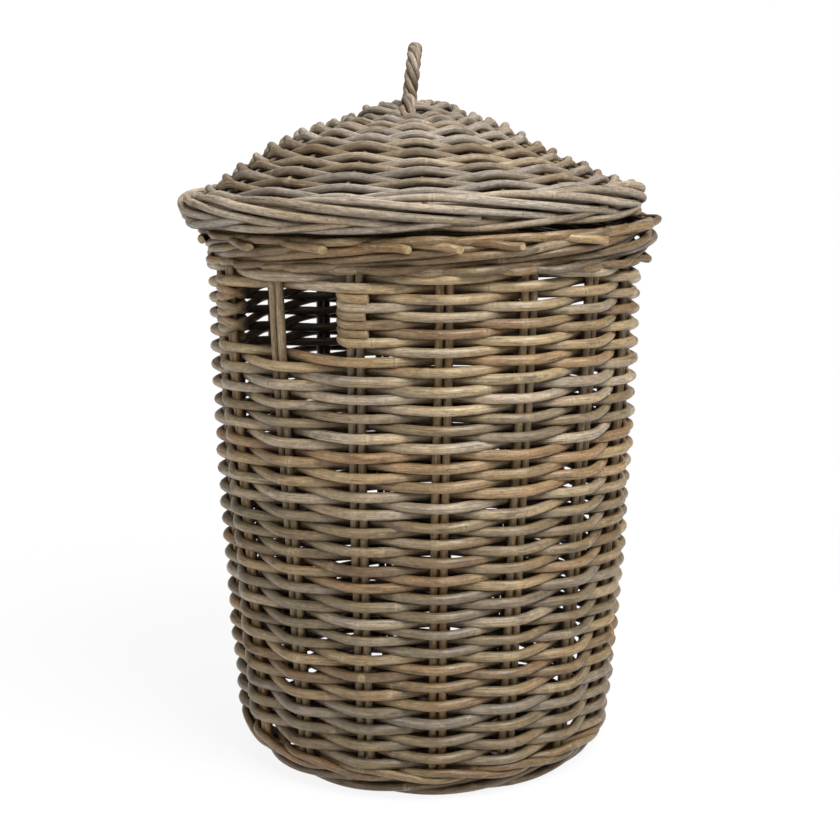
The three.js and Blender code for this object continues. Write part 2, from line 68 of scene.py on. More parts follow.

# Wall
STAKES = 17
STEP = math.tau / STAKES
FOOT_R = 0.192
BELLY_R = 0.209
MOUTH_R = 0.2155
BEND_R = 0.014
BEND_TOP = 0.0344
STAKE_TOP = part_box("stake_01")[1].z
LEG_GAP = 0.0009  # between the two legs of a stake
FIRST_ROW_Z = 0.0385
ROW_PITCH = 0.0092
ROWS_BELOW_HOLES = 45
HOLE_ROWS = 7
TOP_PASSES = 25  # stakes that the weave above the holes passes
TOP_SQUEEZE = 0.0055  # how far the rows are pressed down under the rim
SQUEEZE_Z = (0.455, 0.515)
LOOSE_AT = (math.radians(88), 0.455)  # angle and height of a patch with wider gaps
LOOSE_REACH = (math.radians(32), 0.055)
LOOSE_LIFT = 0.0033  # how far a weaver lies above its row there, outside a stake
SECOND_HOLE_STAKE = 8
WALL_WEAVERS = 7
PASSES_PER_WEAVER = 110
PASS_CLEARANCE = 0.0004  # between a stout cane and a stake
WEAVER_PRESS = 0.0003  # how far a weaver is pressed onto a stake
BEND_SHARPNESS = 0.08  # how much of a weaver's bend is drawn to the stakes
CANE_PASSES = (22, 42)  # stakes that one cane of the wall passes
CANE_GAP = 0.015  # stakes by which a cane stops short
WALL_SIZES = (0.92, 1.04)  # thinnest and thickest cane, as shares of the diameter
WALL_WOBBLE_R = (0.0007, 6)  # how far a cane strays, and stakes from wave to wave
WALL_WOBBLE_Z = (0.0009, 4)
ROW_SETTLING = 0.0022  # how far whole rows lie off their place
SETTLING_RISE = 0.04  # height above the first row where they do so fully
PASS_SAG = 0.0005  # how far a weaver lies below its row outside a stake, and above it inside
BUTT_JOINTS = 0.06  # share of the wall's canes that end outside a stake
SPREAD = 0.062  # radians; the stakes lean apart towards the rim, away from the one beside the first hole
HOLE_SPREAD = 2.2  # how much more they do so towards that hole
SPREAD_FROM_Z = 0.2
RECESS_SHADE = 0.58  # painted shade: how dark a cane is where it runs deep in the weave
RECESS_FROM = 0.3  # place in a cane's swing, 1 outside and -1 inside, where that painted shade begins
HOLE_SIZES = (0.9, 0.98)  # canes beside the hand holes, as shares of the diameter
HOLE_TUCK = 0.7 * math.pi  # how far their ends turn round the edge of a hole
BAND_OUTSIDE = (0.016, 0.021)  # how far the short canes at that edge run outside
BAND_INSIDE = 0.018  # the same inside
BAND_SINK = 0.0015  # how far their ends there are pressed in
STAKE_DROP = 0.006  # how far a stake's middle line ends below its top
BEND_ROOM = 0.004  # from the bend at the foot to the first point above it
FLOOR_ROOM = 0.02  # from the bends to the straight run below the base
FOLD_FROM = 0.2  # radians; where the fold's points begin
SUBSTEPS = 16  # points of a path from one stake to the next

# Base and foot
BASE_Z = (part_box("base_weaver")[0].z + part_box("base_weaver")[1].z) / 2
FOLD_R = 0.0515
FOLD_BEND_R = 0.006
BASE_WEAVE_R = 0.106
BASE_ROWS = 6
BASE_COIL_R = (0.009, 0.098)
FOOT_ROPE_R = 0.1795
FOOT_ROPE_STRANDS = 3
FOOT_ROPE_TURNS = 4
WALE_Z = 0.0275
WALE_R = 0.1985
WALE_LEAN = 0.35  # how far the wale comes in for each unit down
WALE_CANES = 3
WALE_SIZE = 0.97  # share of the border's diameter
WALE_LAP = 1.5  # stakes by which the ends of its canes overlap
WALE_INSIDE = 0.002  # how much further in than a weaver they run
ROPE_SLACK = 1.02  # room between the strands of a rope
ROPE_POINTS = 12 * STAKES
FOOT_ROOM = 1.06  # room for the swells of the strands on the floor
COIL_POINTS = 60  # on each turn of a coil

# Rim
RIM_LOW_Z = 0.5287
RIM_RUN = 1.6  # stakes that a border cane passes below the face
RIM_CLIMB = 4.1  # stakes that it passes on its way up
RIM_SIZES = (0.93, 1.03)  # border canes, as shares of the diameter
RIM_UNEVEN = (0.0012, 0.0013)  # how far they stray sideways and up
RIM_FACE_R = 0.2365
RIM_SHIFT = 0.006  # how far the face of the rim lies off centre
RIM_SHIFT_TOWARDS = math.radians(308.7)
RIM_LAYERS = 2
RIM_LAYER_DEPTH = 0.0085  # from the outer canes in to the ones behind them
RIM_LAYER_STEP = 0.5  # stakes from the ones to the others
RIM_LID_GAP = 0.001
RIM_ENDS_FRONT = (-0.35, 0.68, 1.6, 2.12, 2.77, 3.85)  # cut ends, in stakes from the first hole
RIM_ENDS_BEHIND = 9
RIM_END_STRAY = 0.25  # stakes
RIM_END_SIZES = (0.98, 1.18)
RIM_END_UNEVEN = (0.0005, 0.001)
RIM_END_SLANT = (0.5, 1.2)  # how far a cut is slanted, in radii
LINING_WAVE = 0.0008  # how far the lining strays sideways

# Lid, in its own frame
LID_TILT = math.radians(1.7)
LID_LOW_SIDE = math.radians(165)
LID_EDGE_R = 0.224
LID_EDGE_Z = 0.01967
LID_LIFT = 0.0066  # round canes swing less than square ones, so the ribs lie higher
LID_SLOPE = 0.54
SHOULDER_R = 0.1
SHOULDER_SLOPE = 0.29
SHOULDER_ROUNDING = 0.022
LID_CROWN_R = 0.03
LID_CROWN_ROUNDING = 0.02
LID_NUDGE = 0.003  # how much further off centre the lid lies than in the solids
LID_BULGE = 0.0055  # how much fuller the lid is on one side
LID_BULGE_R = (0.14, 0.045)  # radius and reach of that
LID_FULL_SIDE = math.radians(128.7)
LID_WEAVE_R = 0.054
LID_ROW_PITCH = 0.0081
LID_ROWS = 18
LID_EDGE_ROWS = 3  # beyond those, down to the border
LID_CANE_PASSES = (16, 30)  # ribs that one cane of the lid passes
LID_WEAVERS = 3
LID_CANE_GAP = 0.05  # ribs by which a cane stops short
LID_STEP = 0.0055  # from ring to ring of vertices
LID_SWING = 0.0046
LID_SWINGS = (0.85, 1.12)  # shares of that by which the canes swing
LID_SIZES = (0.88, 1.05)  # thinnest and thickest cane, as shares of the diameter
LID_WOBBLE_R = (0.001, 5)  # how far a cane strays, and ribs from wave to wave
LID_WOBBLE_Z = (0.0006, 5)
LID_RECESS_SHADE = 0.2  # share of the painted shade deep in the weave, on the lid
SLOPE_PROBE = 0.001  # to either side of a place for its slope
RIB_START_R = 0.03
RIB_POINTS = 200
RIB_SWING = 0.001  # ribs give way to the weavers that pass them
CROWN_START_R = 0.012
CROWN_LIFT = 0.0035
CROWN_TOP = 0.0125  # from the ribs' middle up to the handle's strands
CROWN_SPOKES = 7
CROWN_SIZE = 0.9  # share of the lid weavers' diameter
HEART_SIZE = 0.8  # the same for the coil in the very middle
HEART_TURNS = 1.6
HEART_START_R = 0.0005
HEART_PITCH = 0.0042
LID_BORDER_ROUTE = (  # out from under the weave, down across the face and under
    (-0.6, 0.2230, 0.0300),
    (-0.1, 0.2285, 0.0335),
    (0.4, 0.2360, 0.0315),
    (0.9, 0.2392, 0.0268),
    (1.6, 0.2395, 0.0200),
    (2.3, 0.2358, 0.0132),
    (2.8, 0.2298, 0.0085),
    (3.3, 0.2240, 0.0064),
)
LID_BORDER_SIZES = (0.9, 1.1)
LID_BORDER_UNEVEN = 0.0011
LID_EDGE_CANES = 12
LID_EDGE_ROUTE = (  # along the lower edge in front of the others, tucked in at both ends
    (-1.5, 0.2270, 0.0130),
    (-0.9, 0.2312, 0.0086),
    (-0.3, 0.2340, 0.0060),
    (0.3, 0.2356, 0.0068),
    (0.9, 0.2372, 0.0112),
    (1.4, 0.2345, 0.0165),
)
LID_EDGE_SIZES = (0.9, 1.06)
LID_EDGE_STRAY = 0.3  # ribs
LID_SEAT_R = 0.2155
LID_SEAT_TURNS = 9
LID_SEAT_STRANDS = 2
LID_SEAT_LAY = 0.98  # how close its strands lie, as a share of the diameter
LID_SEAT_SIZE = 0.96  # their own thickness, the same way
LID_SEAT_GAP = 0.0003
LID_CORE = ((0.224, 0.0215), (0.232, 0.024), (0.23, 0.014))  # radius and height of the border's inner canes
CORE_POINTS = 8 * STAKES

# Handle
HANDLE_REACH = 0.031
HANDLE_LEG = 0.0206
HANDLE_FOOT_Z = 0.123
HANDLE_TURNS = 2.8
HANDLE_STRANDS = 4
HANDLE_TOWARDS = math.radians(38.7)
HANDLE_LEAN = math.radians(8)
HANDLE_LAY = 0.69  # from the middle of the rope to that of a strand, in diameters
HANDLE_ROOT = 0.04  # length of the rope beyond the loop, which dives into the crown
HANDLE_ROOT_BEND = 0.007
HANDLE_ROOT_DROP = 1.5  # how much faster it comes down than it bends outwards
HANDLE_ROOT_SINK = 0.016  # how far its end lies below the crown
HANDLE_SINK_FROM = 0.35  # share of its length where it begins to sink
HANDLE_POINTS = 110
HANDLE_ROOT_SPREAD = 0.3  # how much wider the rope is at its end

# Tones of the canes: hue, lightness, and how far each of these strays
STAKE_TONE = (0.5, 0.65, 0.25, 0.2)
WALL_TONE = (0.58, 0.03, 0.46, 0.34)  # at the floor
WALL_LIGHTER = 0.79  # how much lighter the canes are at the rim, a painted light from above
WALE_TONE = (0.6, 0.35, 0.3, 0.2)
FOOT_ROPE_TONE = (0.55, 0.0, 0.2, 0.1)
BASE_WEAVE_TONE = (0.5, 0.4)
BASE_COIL_TONE = (0.45, 0.45)
RIM_TONE = (0.55, 0.38, 0.32, 0.34)
RIM_END_TONE = (0.5, 0.45)
RIM_LINING_TONE = (0.5, 0.4)
LID_TONE = (0.24, 0.42, 0.46, 0.3)
CROWN_TONE = (0.25, 0.5)
HEART_TONE = (0.3, 0.45)
RIB_TONE = (0.5, 0.0, 0.2, 0.1)
LID_BORDER_TONE = (0.25, 0.7, 0.32, 0.3)
LID_EDGE_TONE = (0.3, 0.7, 0.32, 0.3)
LID_CORE_TONE = (0.5, 0.5, 0.2, 0.1)
LID_SEAT_TONE = (0.4, 0.4)
HANDLE_TONE = (0.32, 0.28, 0.2, 0.2)

# Looks of the canes: slot, the hues from grey over tan to honey, the dark of the marks, and gloss
LOOKS = {
    "wall": ("weaver_cane", (154, 139, 119), (151, 130, 95), (140, 110, 76), (38, 26, 15), 0.12),
    "stakes": ("stake_cane", (142, 123, 97), (140, 115, 79), (130, 98, 60), (40, 28, 17), 0.1),
    "borders": ("border_cane", (140, 123, 102), (137, 114, 79), (129, 97, 61), (36, 25, 15), 0.15),
    "lid": ("lid_cane", (148, 136, 122), (143, 126, 101), (132, 107, 74), (42, 31, 21), -0.08),
    "handle": ("handle_cane", (154, 139, 122), (146, 127, 101), (134, 107, 74), (50, 37, 25), 0.0),
}

# What a cane tells its material at every vertex
ATTRIBUTES = {
    "grain": ("FLOAT_VECTOR", "vector"),
    "tone": ("FLOAT_VECTOR", "vector"),
    "shade": ("FLOAT", "value"),
}

# Patterns on the canes: how fine along and across, detail and roughness
PATTERNS = {
    "drift": (9, 60, 2, 0.5),
    "streaks": (26, 700, 4, 0.65),
    "fine": (120, 1500, 3, 0.6),
    "cracks": (18, 1000, 3, 0.55),
    "stains": (34, 130, 4, 0.6),
    "patches": (5, 30, 3, 0.6),
    "mottle": (170, 300, 3, 0.6),
    "specks": (420, 900, 2, 0.7),
    "scuffs": (90, 420, 5, 0.75),
}
NOISE_SPAN = (0.3, 0.7)  # where most values of a noise lie
HUE_DRIFT = 0.25
TONE_LIGHT = (0.62, 1.22)  # brightness of the darkest and the lightest tone
LIGHT_PATTERNS = {"patches": (0.8, 1.14), "streaks": (0.68, 1.24), "mottle": (0.8, 1.16), "fine": (0.8, 1.16)}
DARK_MARKS = {"stains": (0.54, 0.74, 0.6), "cracks": (0.6, 0.68, 0.6), "specks": (0.61, 0.69, 0.8)}
SCUFF_MARKS = (0.61, 0.7, 0.6)  # noise where a mark begins and is full, and its strength, as above
SCUFF_COLOR = (188, 170, 138)
JOINT_EDGE = (-0.0005, 0.0007)  # how uneven the ring at a joint is
JOINT_RING = (0.0003, 0.0011, 0.35, 0)  # distances where it begins to fade and is gone, and its strength
COLLAR = (0.001, 0.005, 0.45, 0)  # the same for the pale cane beside it
COLLAR_PATCHES = (0.4, 0.6)
COLLAR_COLOR = (188, 168, 132)
PAINTED_SHADE_TINT = (0.21, 0.155, 0.108, 1)  # painted shade: what is left of a colour on the inside of the basket and deep in the weave
ROUGHNESS = (0.44, 0.64)
SPECULAR = 0.5
FINE_RELIEF = 0.5  # shares of the streaks' relief
RING_RELIEF = 0.8
CRACK_RELIEF = (0.6, 0.7, 0, 0.8)  # noise where a crack begins and is full, and its depth
BUMP = {"Strength": 0.5, "Distance": 0.0007}
PITH_COLORS = ((164, 142, 104), (132, 110, 76))  # of the cut ends
PITH_ROUGHNESS = (0.6, 0.8)
PORE_COLOR = (96, 72, 44)
PORES = (0.55, 0.65, 0, 0.6)  # the same for the pores and their strength

# Studio
AMBIENT = 0.22
LIGHTS = {  # degrees round from the camera to the right, degrees up, distance, side and power
    "key": (42, 50, 2.6, 1.5, 94),
    "fill": (-55, 25, 2.8, 2.0, 25),
    "top": (180, 75, 2.4, 1.8, 26),
}
LIGHT_TARGET_Z = 0.35
FLOOR_REACH = 30
FLOOR_COLOR = (0.9, 0.9, 0.9, 1)
FLOOR_ROUGHNESS = 0.9
WHITE = (1, 1, 1, 1)
SHADOW_KEPT = 0.12  # share of the shadow that shows on the white floor
SHADOW_FADE = (0.35, 1.1)  # from the basket's middle, where it fades out

# Camera, from the outline of the basket in the photograph
CAMERA_TOWARDS = math.radians(218.7)
CAMERA_DISTANCE = 1.55
CAMERA_Z = 0.638
CAMERA_PITCH = math.radians(10.55)
CAMERA_YAW = math.radians(0.2)
FOCAL_PIXELS = 1457
IMAGE_PIXELS = 840
SENSOR_MM = 36

rng = random.Random(20)


def smooth(x, start=0.0, end=1.0):
    """From 0 at the start to 1 at the end, with soft turns there."""
    x = np.clip((x - start) / (end - start), 0, 1)
    return x * x * (3 - 2 * x)


def soft_max(a, b, rounding):
    gap = a - b
    return (a + b + np.sqrt(gap * gap + rounding * rounding)) / 2


def soft_min(a, b, rounding):
    return a + b - soft_max(a, b, rounding)


def stake_angle(index):
    return math.pi + index * STEP


def wall_angle(index, z):
    """Angle of a stake at a height."""
    angle = stake_angle(index)
    away = angle - stake_angle(1)
    lean = np.sin(away) * (1 + np.cos(away)) / 2
    lean = np.where(lean < 0, HOLE_SPREAD, 1) * lean
    return angle + SPREAD * lean * smooth(z, SPREAD_FROM_Z, STAKE_TOP)


def wall_radius(z):
    """Radius of the stakes' circle at a height, through the foot, the belly and the mouth."""
    t = (z - BEND_TOP) / (STAKE_TOP - BEND_TOP)
    bulge = BELLY_R - (FOOT_R + MOUTH_R) / 2
    return FOOT_R + (MOUTH_R - FOOT_R) * t + 4 * bulge * t * (1 - t)


def polar(angle, r, z):
    """Points at these angles, radii and heights."""
    angle, r, z = np.broadcast_arrays(angle, r, z)
    return np.stack([r * np.cos(angle), r * np.sin(angle), z], axis=-1).astype(float)


def around(angle):
    """Direction along the wall there, anticlockwise seen from above."""
    return np.array([-math.sin(angle), math.cos(angle), 0])


def uneven(size):
    return rng.uniform(-size, size)


class Wobble:
    """A smooth uneven line: a few sine waves with seeded phases."""

    def __init__(self, size, wavelength):
        self.waves = []
        for k in range(4):
            length = wavelength * rng.uniform(0.6, 1.7)
            height = size * rng.uniform(0.3, 0.6)
            self.waves.append((height, math.tau / length, rng.uniform(0, math.tau)))

    def __call__(self, x):
        return sum(a * np.sin(k * x + phase) for a, k, phase in self.waves)


class Settling:
    """How far the rows of the wall sank or were pushed up, the same for rows that lie close together."""

    def __init__(self, size, laps=(1, 2, 3, 5), wavelength=(0.09, 0.22)):
        self.waves = []
        for k in laps:
            upright = math.tau / rng.uniform(*wavelength)
            height = size * rng.uniform(0.5, 1) / len(laps)
            self.waves.append((height, k, upright, rng.uniform(0, math.tau)))

    def __call__(self, angle, z):
        return sum(a * np.sin(k * angle + upright * z + phase) for a, k, upright, phase in self.waves)


def curve_through(points, per_span=SUBSTEPS):
    """A Catmull-Rom curve through the points."""
    points = np.asarray(points, float)
    ends = np.vstack([2 * points[0] - points[1], points, 2 * points[-1] - points[-2]])
    t = np.linspace(0, 1, per_span, endpoint=False)[:, None]
    spans = []
    for a, b, c, d in zip(ends[:-3], ends[1:-2], ends[2:-1], ends[3:]):
        square = (2 * a - 5 * b + 4 * c - d) * t**2
        cube = (3 * b - a - 3 * c + d) * t**3
        spans.append((2 * b + (c - a) * t + square + cube) / 2)
    return np.vstack(spans + [points[-1:]])


def towards_axis(points):
    """Directions from the points to the basket's middle."""
    flat = points * np.array([1, 1, 0])
    return -flat / np.maximum(np.linalg.norm(flat, axis=1), 1e-6)[:, None]


def downwards(points):
    return np.tile([0.0, 0.0, -1.0], (len(points), 1))


def upwards(points):
    return -downwards(points)


def under_lid(points):
    """Directions into the basket, square to the lid's slope."""
    return (downwards(points) + LID_SLOPE * towards_axis(points)) / math.hypot(1, LID_SLOPE)


class Cane:
    """A round cane along a path, with joints, and with what its material needs at every vertex.

    grain holds the distance along the cane and the place across it; tone holds hue, lightness and the
    distance to the nearest joint; shade is a painted shade, 1 on the side that faces the inside of the
    basket, and it grows with the depth in the weave.
    """

    def __init__(
        self, path, diameter, tone, inside=towards_axis, knots=True, step=RING_STEP, slant=0.0, depth=None
    ):
        steps = np.linalg.norm(np.diff(path, axis=0), axis=1)
        along = np.concatenate([[0], np.cumsum(steps)])
        length = along[-1]
        self.knots = self.joint_places(length) if knots else []
        stops = self.ring_places(length, step, slant * diameter)
        middle = np.stack([np.interp(stops, along, path[:, k]) for k in range(3)], axis=1)
        swell = Wobble(*SWELL)
        radius = diameter / 2 * (1 + swell(stops))
        near = np.full(len(stops), KNOT_EVERY[1])
        for place in self.knots:
            distance = np.abs(stops - place)
            near = np.minimum(near, distance)
            radius *= 1 + KNOT_SWELL * np.exp(-((distance / KNOT_REACH * KNOT_STEEPNESS) ** 2))
        radius[[0, -1]] -= CHAMFER
        forward, across, up = self.frames(middle)
        turn = np.arange(SIDES) * math.tau / SIDES
        offsets = np.cos(turn)[None, :, None] * across[:, None] + np.sin(turn)[None, :, None] * up[:, None]
        inner = np.einsum("rsk,rk->rs", offsets, inside(middle))
        vertices = middle[:, None] + radius[:, None, None] * offsets
        cut_back = slant * radius[-2:, None, None] * inner[-2:, :, None]
        vertices[-2:] += cut_back * forward[-2:, None]
        self.vertices = vertices.reshape(-1, 3)
        # Painted shade: darker on the sides that face inwards, and where the cane runs deep in the weave
        deep = np.zeros(len(stops)) if depth is None else np.interp(stops, along, depth)
        painted_inside_shade = smooth(inner, *INSIDE_FACING)
        self.shade = np.maximum(painted_inside_shade, RECESS_SHADE * deep[:, None]).reshape(-1)
        self.rings = len(stops)
        distance = rng.uniform(0, GRAIN_START) + stops[:, None]
        place = (radius[:, None] * np.cos(turn), radius[:, None] * np.sin(turn))
        self.grain = self.at_vertices(distance, *place)
        self.tone = self.at_vertices(*tone, near[:, None])

    def at_vertices(self, *values):
        shape = (self.rings, SIDES)
        return np.stack([np.broadcast_to(v, shape) for v in values], axis=-1).reshape(-1, len(values))

    def joint_places(self, length):
        places = []
        before, after = KNOT_ROOM
        at = rng.uniform(before, KNOT_EVERY[1])
        while at < length - after:
            places.append(at)
            at += rng.uniform(*KNOT_EVERY)
        return places

    def ring_places(self, length, step, end_room):
        count = max(2, round(length / step))
        places = list(np.linspace(0, length, count + 1)[:-1]) + [CHAMFER]
        for knot in self.knots:
            places += [knot + share * KNOT_REACH for share in KNOT_RINGS]
        places = [p for p in places if p < length - CHAMFER - end_room] + [length - CHAMFER, length]
        places = np.unique(np.clip(places, 0, length))
        keep = np.concatenate([[True], np.diff(places) > CHAMFER / 2])
        return places[keep]

    def frames(self, middle):
        along = np.gradient(middle, axis=0)
        along /= np.linalg.norm(along, axis=1)[:, None]
        across = np.zeros_like(middle)
        helper = np.array([0, 0, 1.0]) if abs(along[0][2]) < 0.8 else np.array([1.0, 0, 0])
        last = np.cross(along[0], helper)
        for i, direction in enumerate(along):
            last = last - direction * np.dot(last, direction)
            last /= np.linalg.norm(last)
            across[i] = last
        return along, across, np.cross(along, across)

    def faces(self, first):
        """The sides and both ends, by the numbers of their vertices, which count on from the first."""
        rings = first + np.arange(self.rings * SIDES).reshape(self.rings, SIDES)
        turned = np.roll(rings, -1, axis=1)
        sides = np.stack([rings[:-1], turned[:-1], turned[1:], rings[1:]], axis=-1)
        return sides.reshape(-1, 4).tolist(), [rings[0, ::-1].tolist(), rings[-1].tolist()]


def new_object(name, data):
    obj = bpy.data.objects.new(name, data)
    bpy.context.scene.collection.objects.link(obj)
    return obj


def build_piece(name, canes, look, body, *replaced):
    """One object from one or more canes, riding on a body."""
    faces = []
    caps = []
    count = 0
    for cane in canes:
        sides, ends = cane.faces(count)
        faces += sides
        caps += ends
        count += len(cane.vertices)
    mesh = bpy.data.meshes.new(name)
    mesh.from_pydata(np.vstack([c.vertices for c in canes]).tolist(), [], faces + caps)
    on_caps = np.arange(len(faces) + len(caps)) >= len(faces)
    mesh.polygons.foreach_set("use_smooth", ~on_caps)
    mesh.polygons.foreach_set("material_index", on_caps.astype(np.int32))
    for label, (kind, field) in ATTRIBUTES.items():
        values = np.concatenate([getattr(c, label) for c in canes]).astype(np.float32)
        mesh.attributes.new(label, kind, "POINT").data.foreach_set(field, values.ravel())
    mesh.materials.append(MATERIALS[look])
    mesh.materials.append(CUT_END)
    mesh.update()
    obj = new_object(name, mesh)
    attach(obj, body)
    if replaced:
        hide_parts(*replaced)


def linear(red, green, blue):
    """A colour given as it looks on screen, 0 to 255, in the units of the shader."""
    v = np.array([red, green, blue]) / 255
    return (*np.where(v <= 0.04045, v / 12.92, ((v + 0.055) / 1.055) ** 2.4), 1.0)


class Shader:
    """The nodes of a material or a world, and short ways to add more."""

    def __init__(self, owner, surface="Principled BSDF"):
        owner.use_nodes = True
        self.owner = owner
        self.tree = owner.node_tree
        self.surface = self.tree.nodes[surface]

    def fill(self, node, inputs):
        """Gives inputs, by name or by number, a value or the output of another node."""
        for key, value in inputs.items():
            if isinstance(value, bpy.types.NodeSocket):
                self.tree.links.new(value, node.inputs[key])
            else:
                node.inputs[key].default_value = value

    def node(self, kind, inputs=None, **settings):
        node = self.tree.nodes.new(kind)
        for key, value in settings.items():
            setattr(node, key, value)
        self.fill(node, inputs or {})
        return node

    def attribute(self, name, output):
        return self.node("ShaderNodeAttribute", attribute_name=name).outputs[output]

    def math(self, operation, a, b):
        return self.node("ShaderNodeMath", {0: a, 1: b}, operation=operation).outputs[0]

    def span(self, value, low, high, to_low=0.0, to_high=1.0):
        ends = {"Value": value, "From Min": low, "From Max": high, "To Min": to_low, "To Max": to_high}
        return self.node("ShaderNodeMapRange", ends, interpolation_type="SMOOTHSTEP").outputs[0]

    def mix(self, share, a, b, blend="MIX"):
        inputs = {0: share, 6: a, 7: b}  # the sockets for colours
        return self.node("ShaderNodeMix", inputs, data_type="RGBA", blend_type=blend).outputs[2]

    def noise(self, vector, scales, detail=2.0, roughness=0.5):
        stretched = self.node("ShaderNodeVectorMath", {0: vector, 1: scales}, operation="MULTIPLY")
        inputs = {"Vector": stretched.outputs[0], "Scale": 1.0, "Detail": detail, "Roughness": roughness}
        return self.node("ShaderNodeTexNoise", inputs).outputs["Fac"]


def cane_material(name, grey, tan, honey, dark, gloss):
    """Weathered rattan: the hue of each cane and its streaks, cracks, stains, specks and joints."""
    s = Shader(bpy.data.materials.new(name))
    grain = s.attribute("grain", "Vector")
    hue, light, knot = s.node("ShaderNodeSeparateXYZ", {0: s.attribute("tone", "Vector")}).outputs

    pattern = {}
    for label, (along, across, detail, roughness) in PATTERNS.items():
        pattern[label] = s.noise(grain, (along, across, across), detail, roughness)

    hue = s.math("ADD", hue, s.span(pattern["drift"], *NOISE_SPAN, -HUE_DRIFT, HUE_DRIFT))
    ramp = s.node("ShaderNodeValToRGB", {"Fac": hue})
    ramp.color_ramp.elements[0].color = linear(*grey)
    ramp.color_ramp.elements[1].color = linear(*honey)
    ramp.color_ramp.elements.new(0.5).color = linear(*tan)
    color = ramp.outputs["Color"]

    shade = s.span(light, 0, 1, *TONE_LIGHT)
    for label, (low, high) in LIGHT_PATTERNS.items():
        shade = s.math("MULTIPLY", shade, s.span(pattern[label], *NOISE_SPAN, low, high))
    color = s.mix(1.0, color, shade, "MULTIPLY")
    for label, (start, full, strength) in DARK_MARKS.items():
        color = s.mix(s.span(pattern[label], start, full, 0, strength), color, linear(*dark))
    start, full, strength = SCUFF_MARKS
    color = s.mix(s.span(pattern["scuffs"], start, full, 0, strength), color, linear(*SCUFF_COLOR))

    # A joint is a dark ring with an uneven edge, between pale collars
    edge = s.math("ADD", knot, s.span(pattern["stains"], *NOISE_SPAN, *JOINT_EDGE))
    ring = s.span(edge, *JOINT_RING)
    collar = s.math("MULTIPLY", s.span(edge, *COLLAR), s.span(pattern["scuffs"], *COLLAR_PATCHES))
    color = s.mix(collar, color, linear(*COLLAR_COLOR))
    color = s.mix(ring, color, linear(*dark))
    # Painted shade on the sides that face the inside of the basket, and deep in the weave
    painted_shade = s.mix(s.attribute("shade", "Fac"), WHITE, PAINTED_SHADE_TINT)
    color = s.mix(1.0, color, painted_shade, "MULTIPLY")

    smoothest, roughest = ROUGHNESS
    rough = s.span(pattern["stains"], *NOISE_SPAN, smoothest - gloss, roughest - gloss)
    height = s.math("ADD", pattern["streaks"], s.math("MULTIPLY", pattern["fine"], FINE_RELIEF))
    height = s.math("SUBTRACT", height, s.math("MULTIPLY", ring, RING_RELIEF))
    height = s.math("SUBTRACT", height, s.span(pattern["cracks"], *CRACK_RELIEF))
    normal = s.node("ShaderNodeBump", {**BUMP, "Height": height}).outputs[0]
    s.fill(s.surface, {"Base Color": color, "Roughness": rough, "Normal": normal})
    s.fill(s.surface, {"Specular IOR Level": SPECULAR})
    return s.owner


def cut_end_material():
    """The pale pith of a cut cane, with pores."""
    s = Shader(bpy.data.materials.new("cane_cut_end"))
    grain = s.attribute("grain", "Vector")
    pores = s.noise(grain, (1800, 1800, 1800), detail=2)
    tint = s.noise(grain, (200, 300, 300), detail=1)
    color = s.mix(s.span(tint, *NOISE_SPAN), *[linear(*shade) for shade in PITH_COLORS])
    color = s.mix(s.span(pores, *PORES), color, linear(*PORE_COLOR))
    s.fill(s.surface, {"Base Color": color, "Roughness": s.span(pores, *NOISE_SPAN, *PITH_ROUGHNESS)})
    return s.owner


CUT_END = cut_end_material()
MATERIALS = {look: cane_material(f"rattan_{look}", *colors) for look, (slot, *colors) in LOOKS.items()}


def tone_near(hue, light, hue_spread=0.3, light_spread=0.3):
    return (hue + uneven(hue_spread), light + uneven(light_spread))


# How the wall's rows have settled, and how far a weaver swings to either side of the stakes
settle = Settling(ROW_SETTLING)
WEAVER_SWING = STAKE_D / 2 + WEAVER_D / 2 - WEAVER_PRESS
LEG_MIDDLE = (STAKE_D + LEG_GAP) / 2  # from the middle of a stake to the middle of each of its legs


def weave_wave(passes):
    """-1 inside a stake, 1 outside the next; even passes lie inside."""
    x = math.pi * passes
    return -(np.cos(x) + BEND_SHARPNESS * np.cos(3 * x)) / (1 + BEND_SHARPNESS)


def wall_tone(z):
    """Canes are darker towards the foot, a painted shade for light that falls from above."""
    hue, light, hue_spread, light_spread = WALL_TONE
    height = z / STAKE_TOP
    return tone_near(hue, light + WALL_LIGHTER * height, hue_spread, light_spread)


def row_height(passes, angle):
    z = FIRST_ROW_Z + ROW_PITCH * passes / STAKES
    edge = smooth(z - FIRST_ROW_Z, 0, SETTLING_RISE)
    return z + edge * settle(angle, z) - TOP_SQUEEZE * smooth(z, *SQUEEZE_Z)


def looseness(angle, z):
    """1 in the middle of the patch with wider gaps, and 0 away from it."""
    turn = (angle - LOOSE_AT[0] + math.pi) % math.tau - math.pi
    return np.exp(-((turn / LOOSE_REACH[0]) ** 2) - ((z - LOOSE_AT[1]) / LOOSE_REACH[1]) ** 2)


def wall_point(passes):
    """Where a cane of the wall runs; passes counts the stakes along the spiral."""
    angle = stake_angle(passes)
    wave = weave_wave(passes)
    z = row_height(passes, angle) - PASS_SAG * wave
    z += LOOSE_LIFT * looseness(angle, z) * wave
    return wall_angle(passes, z), wall_radius(z) + WEAVER_SWING * wave, z


def depth_in_weave(offset, swing):
    """0 on the outside of the weave and 1 on the inside."""
    return smooth(offset / swing, RECESS_FROM, -1)


def depth_in_wall(path):
    return depth_in_weave(np.hypot(path[:, 0], path[:, 1]) - wall_radius(path[:, 2]), WEAVER_SWING)


def wall_cane(passes):
    angle, r, z = wall_point(passes)
    path = polar(angle, r + Wobble(*WALL_WOBBLE_R)(passes), z + Wobble(*WALL_WOBBLE_Z)(passes))
    diameter = WEAVER_D * rng.uniform(*WALL_SIZES)
    return Cane(path, diameter, wall_tone(z.mean()), depth=depth_in_wall(path))


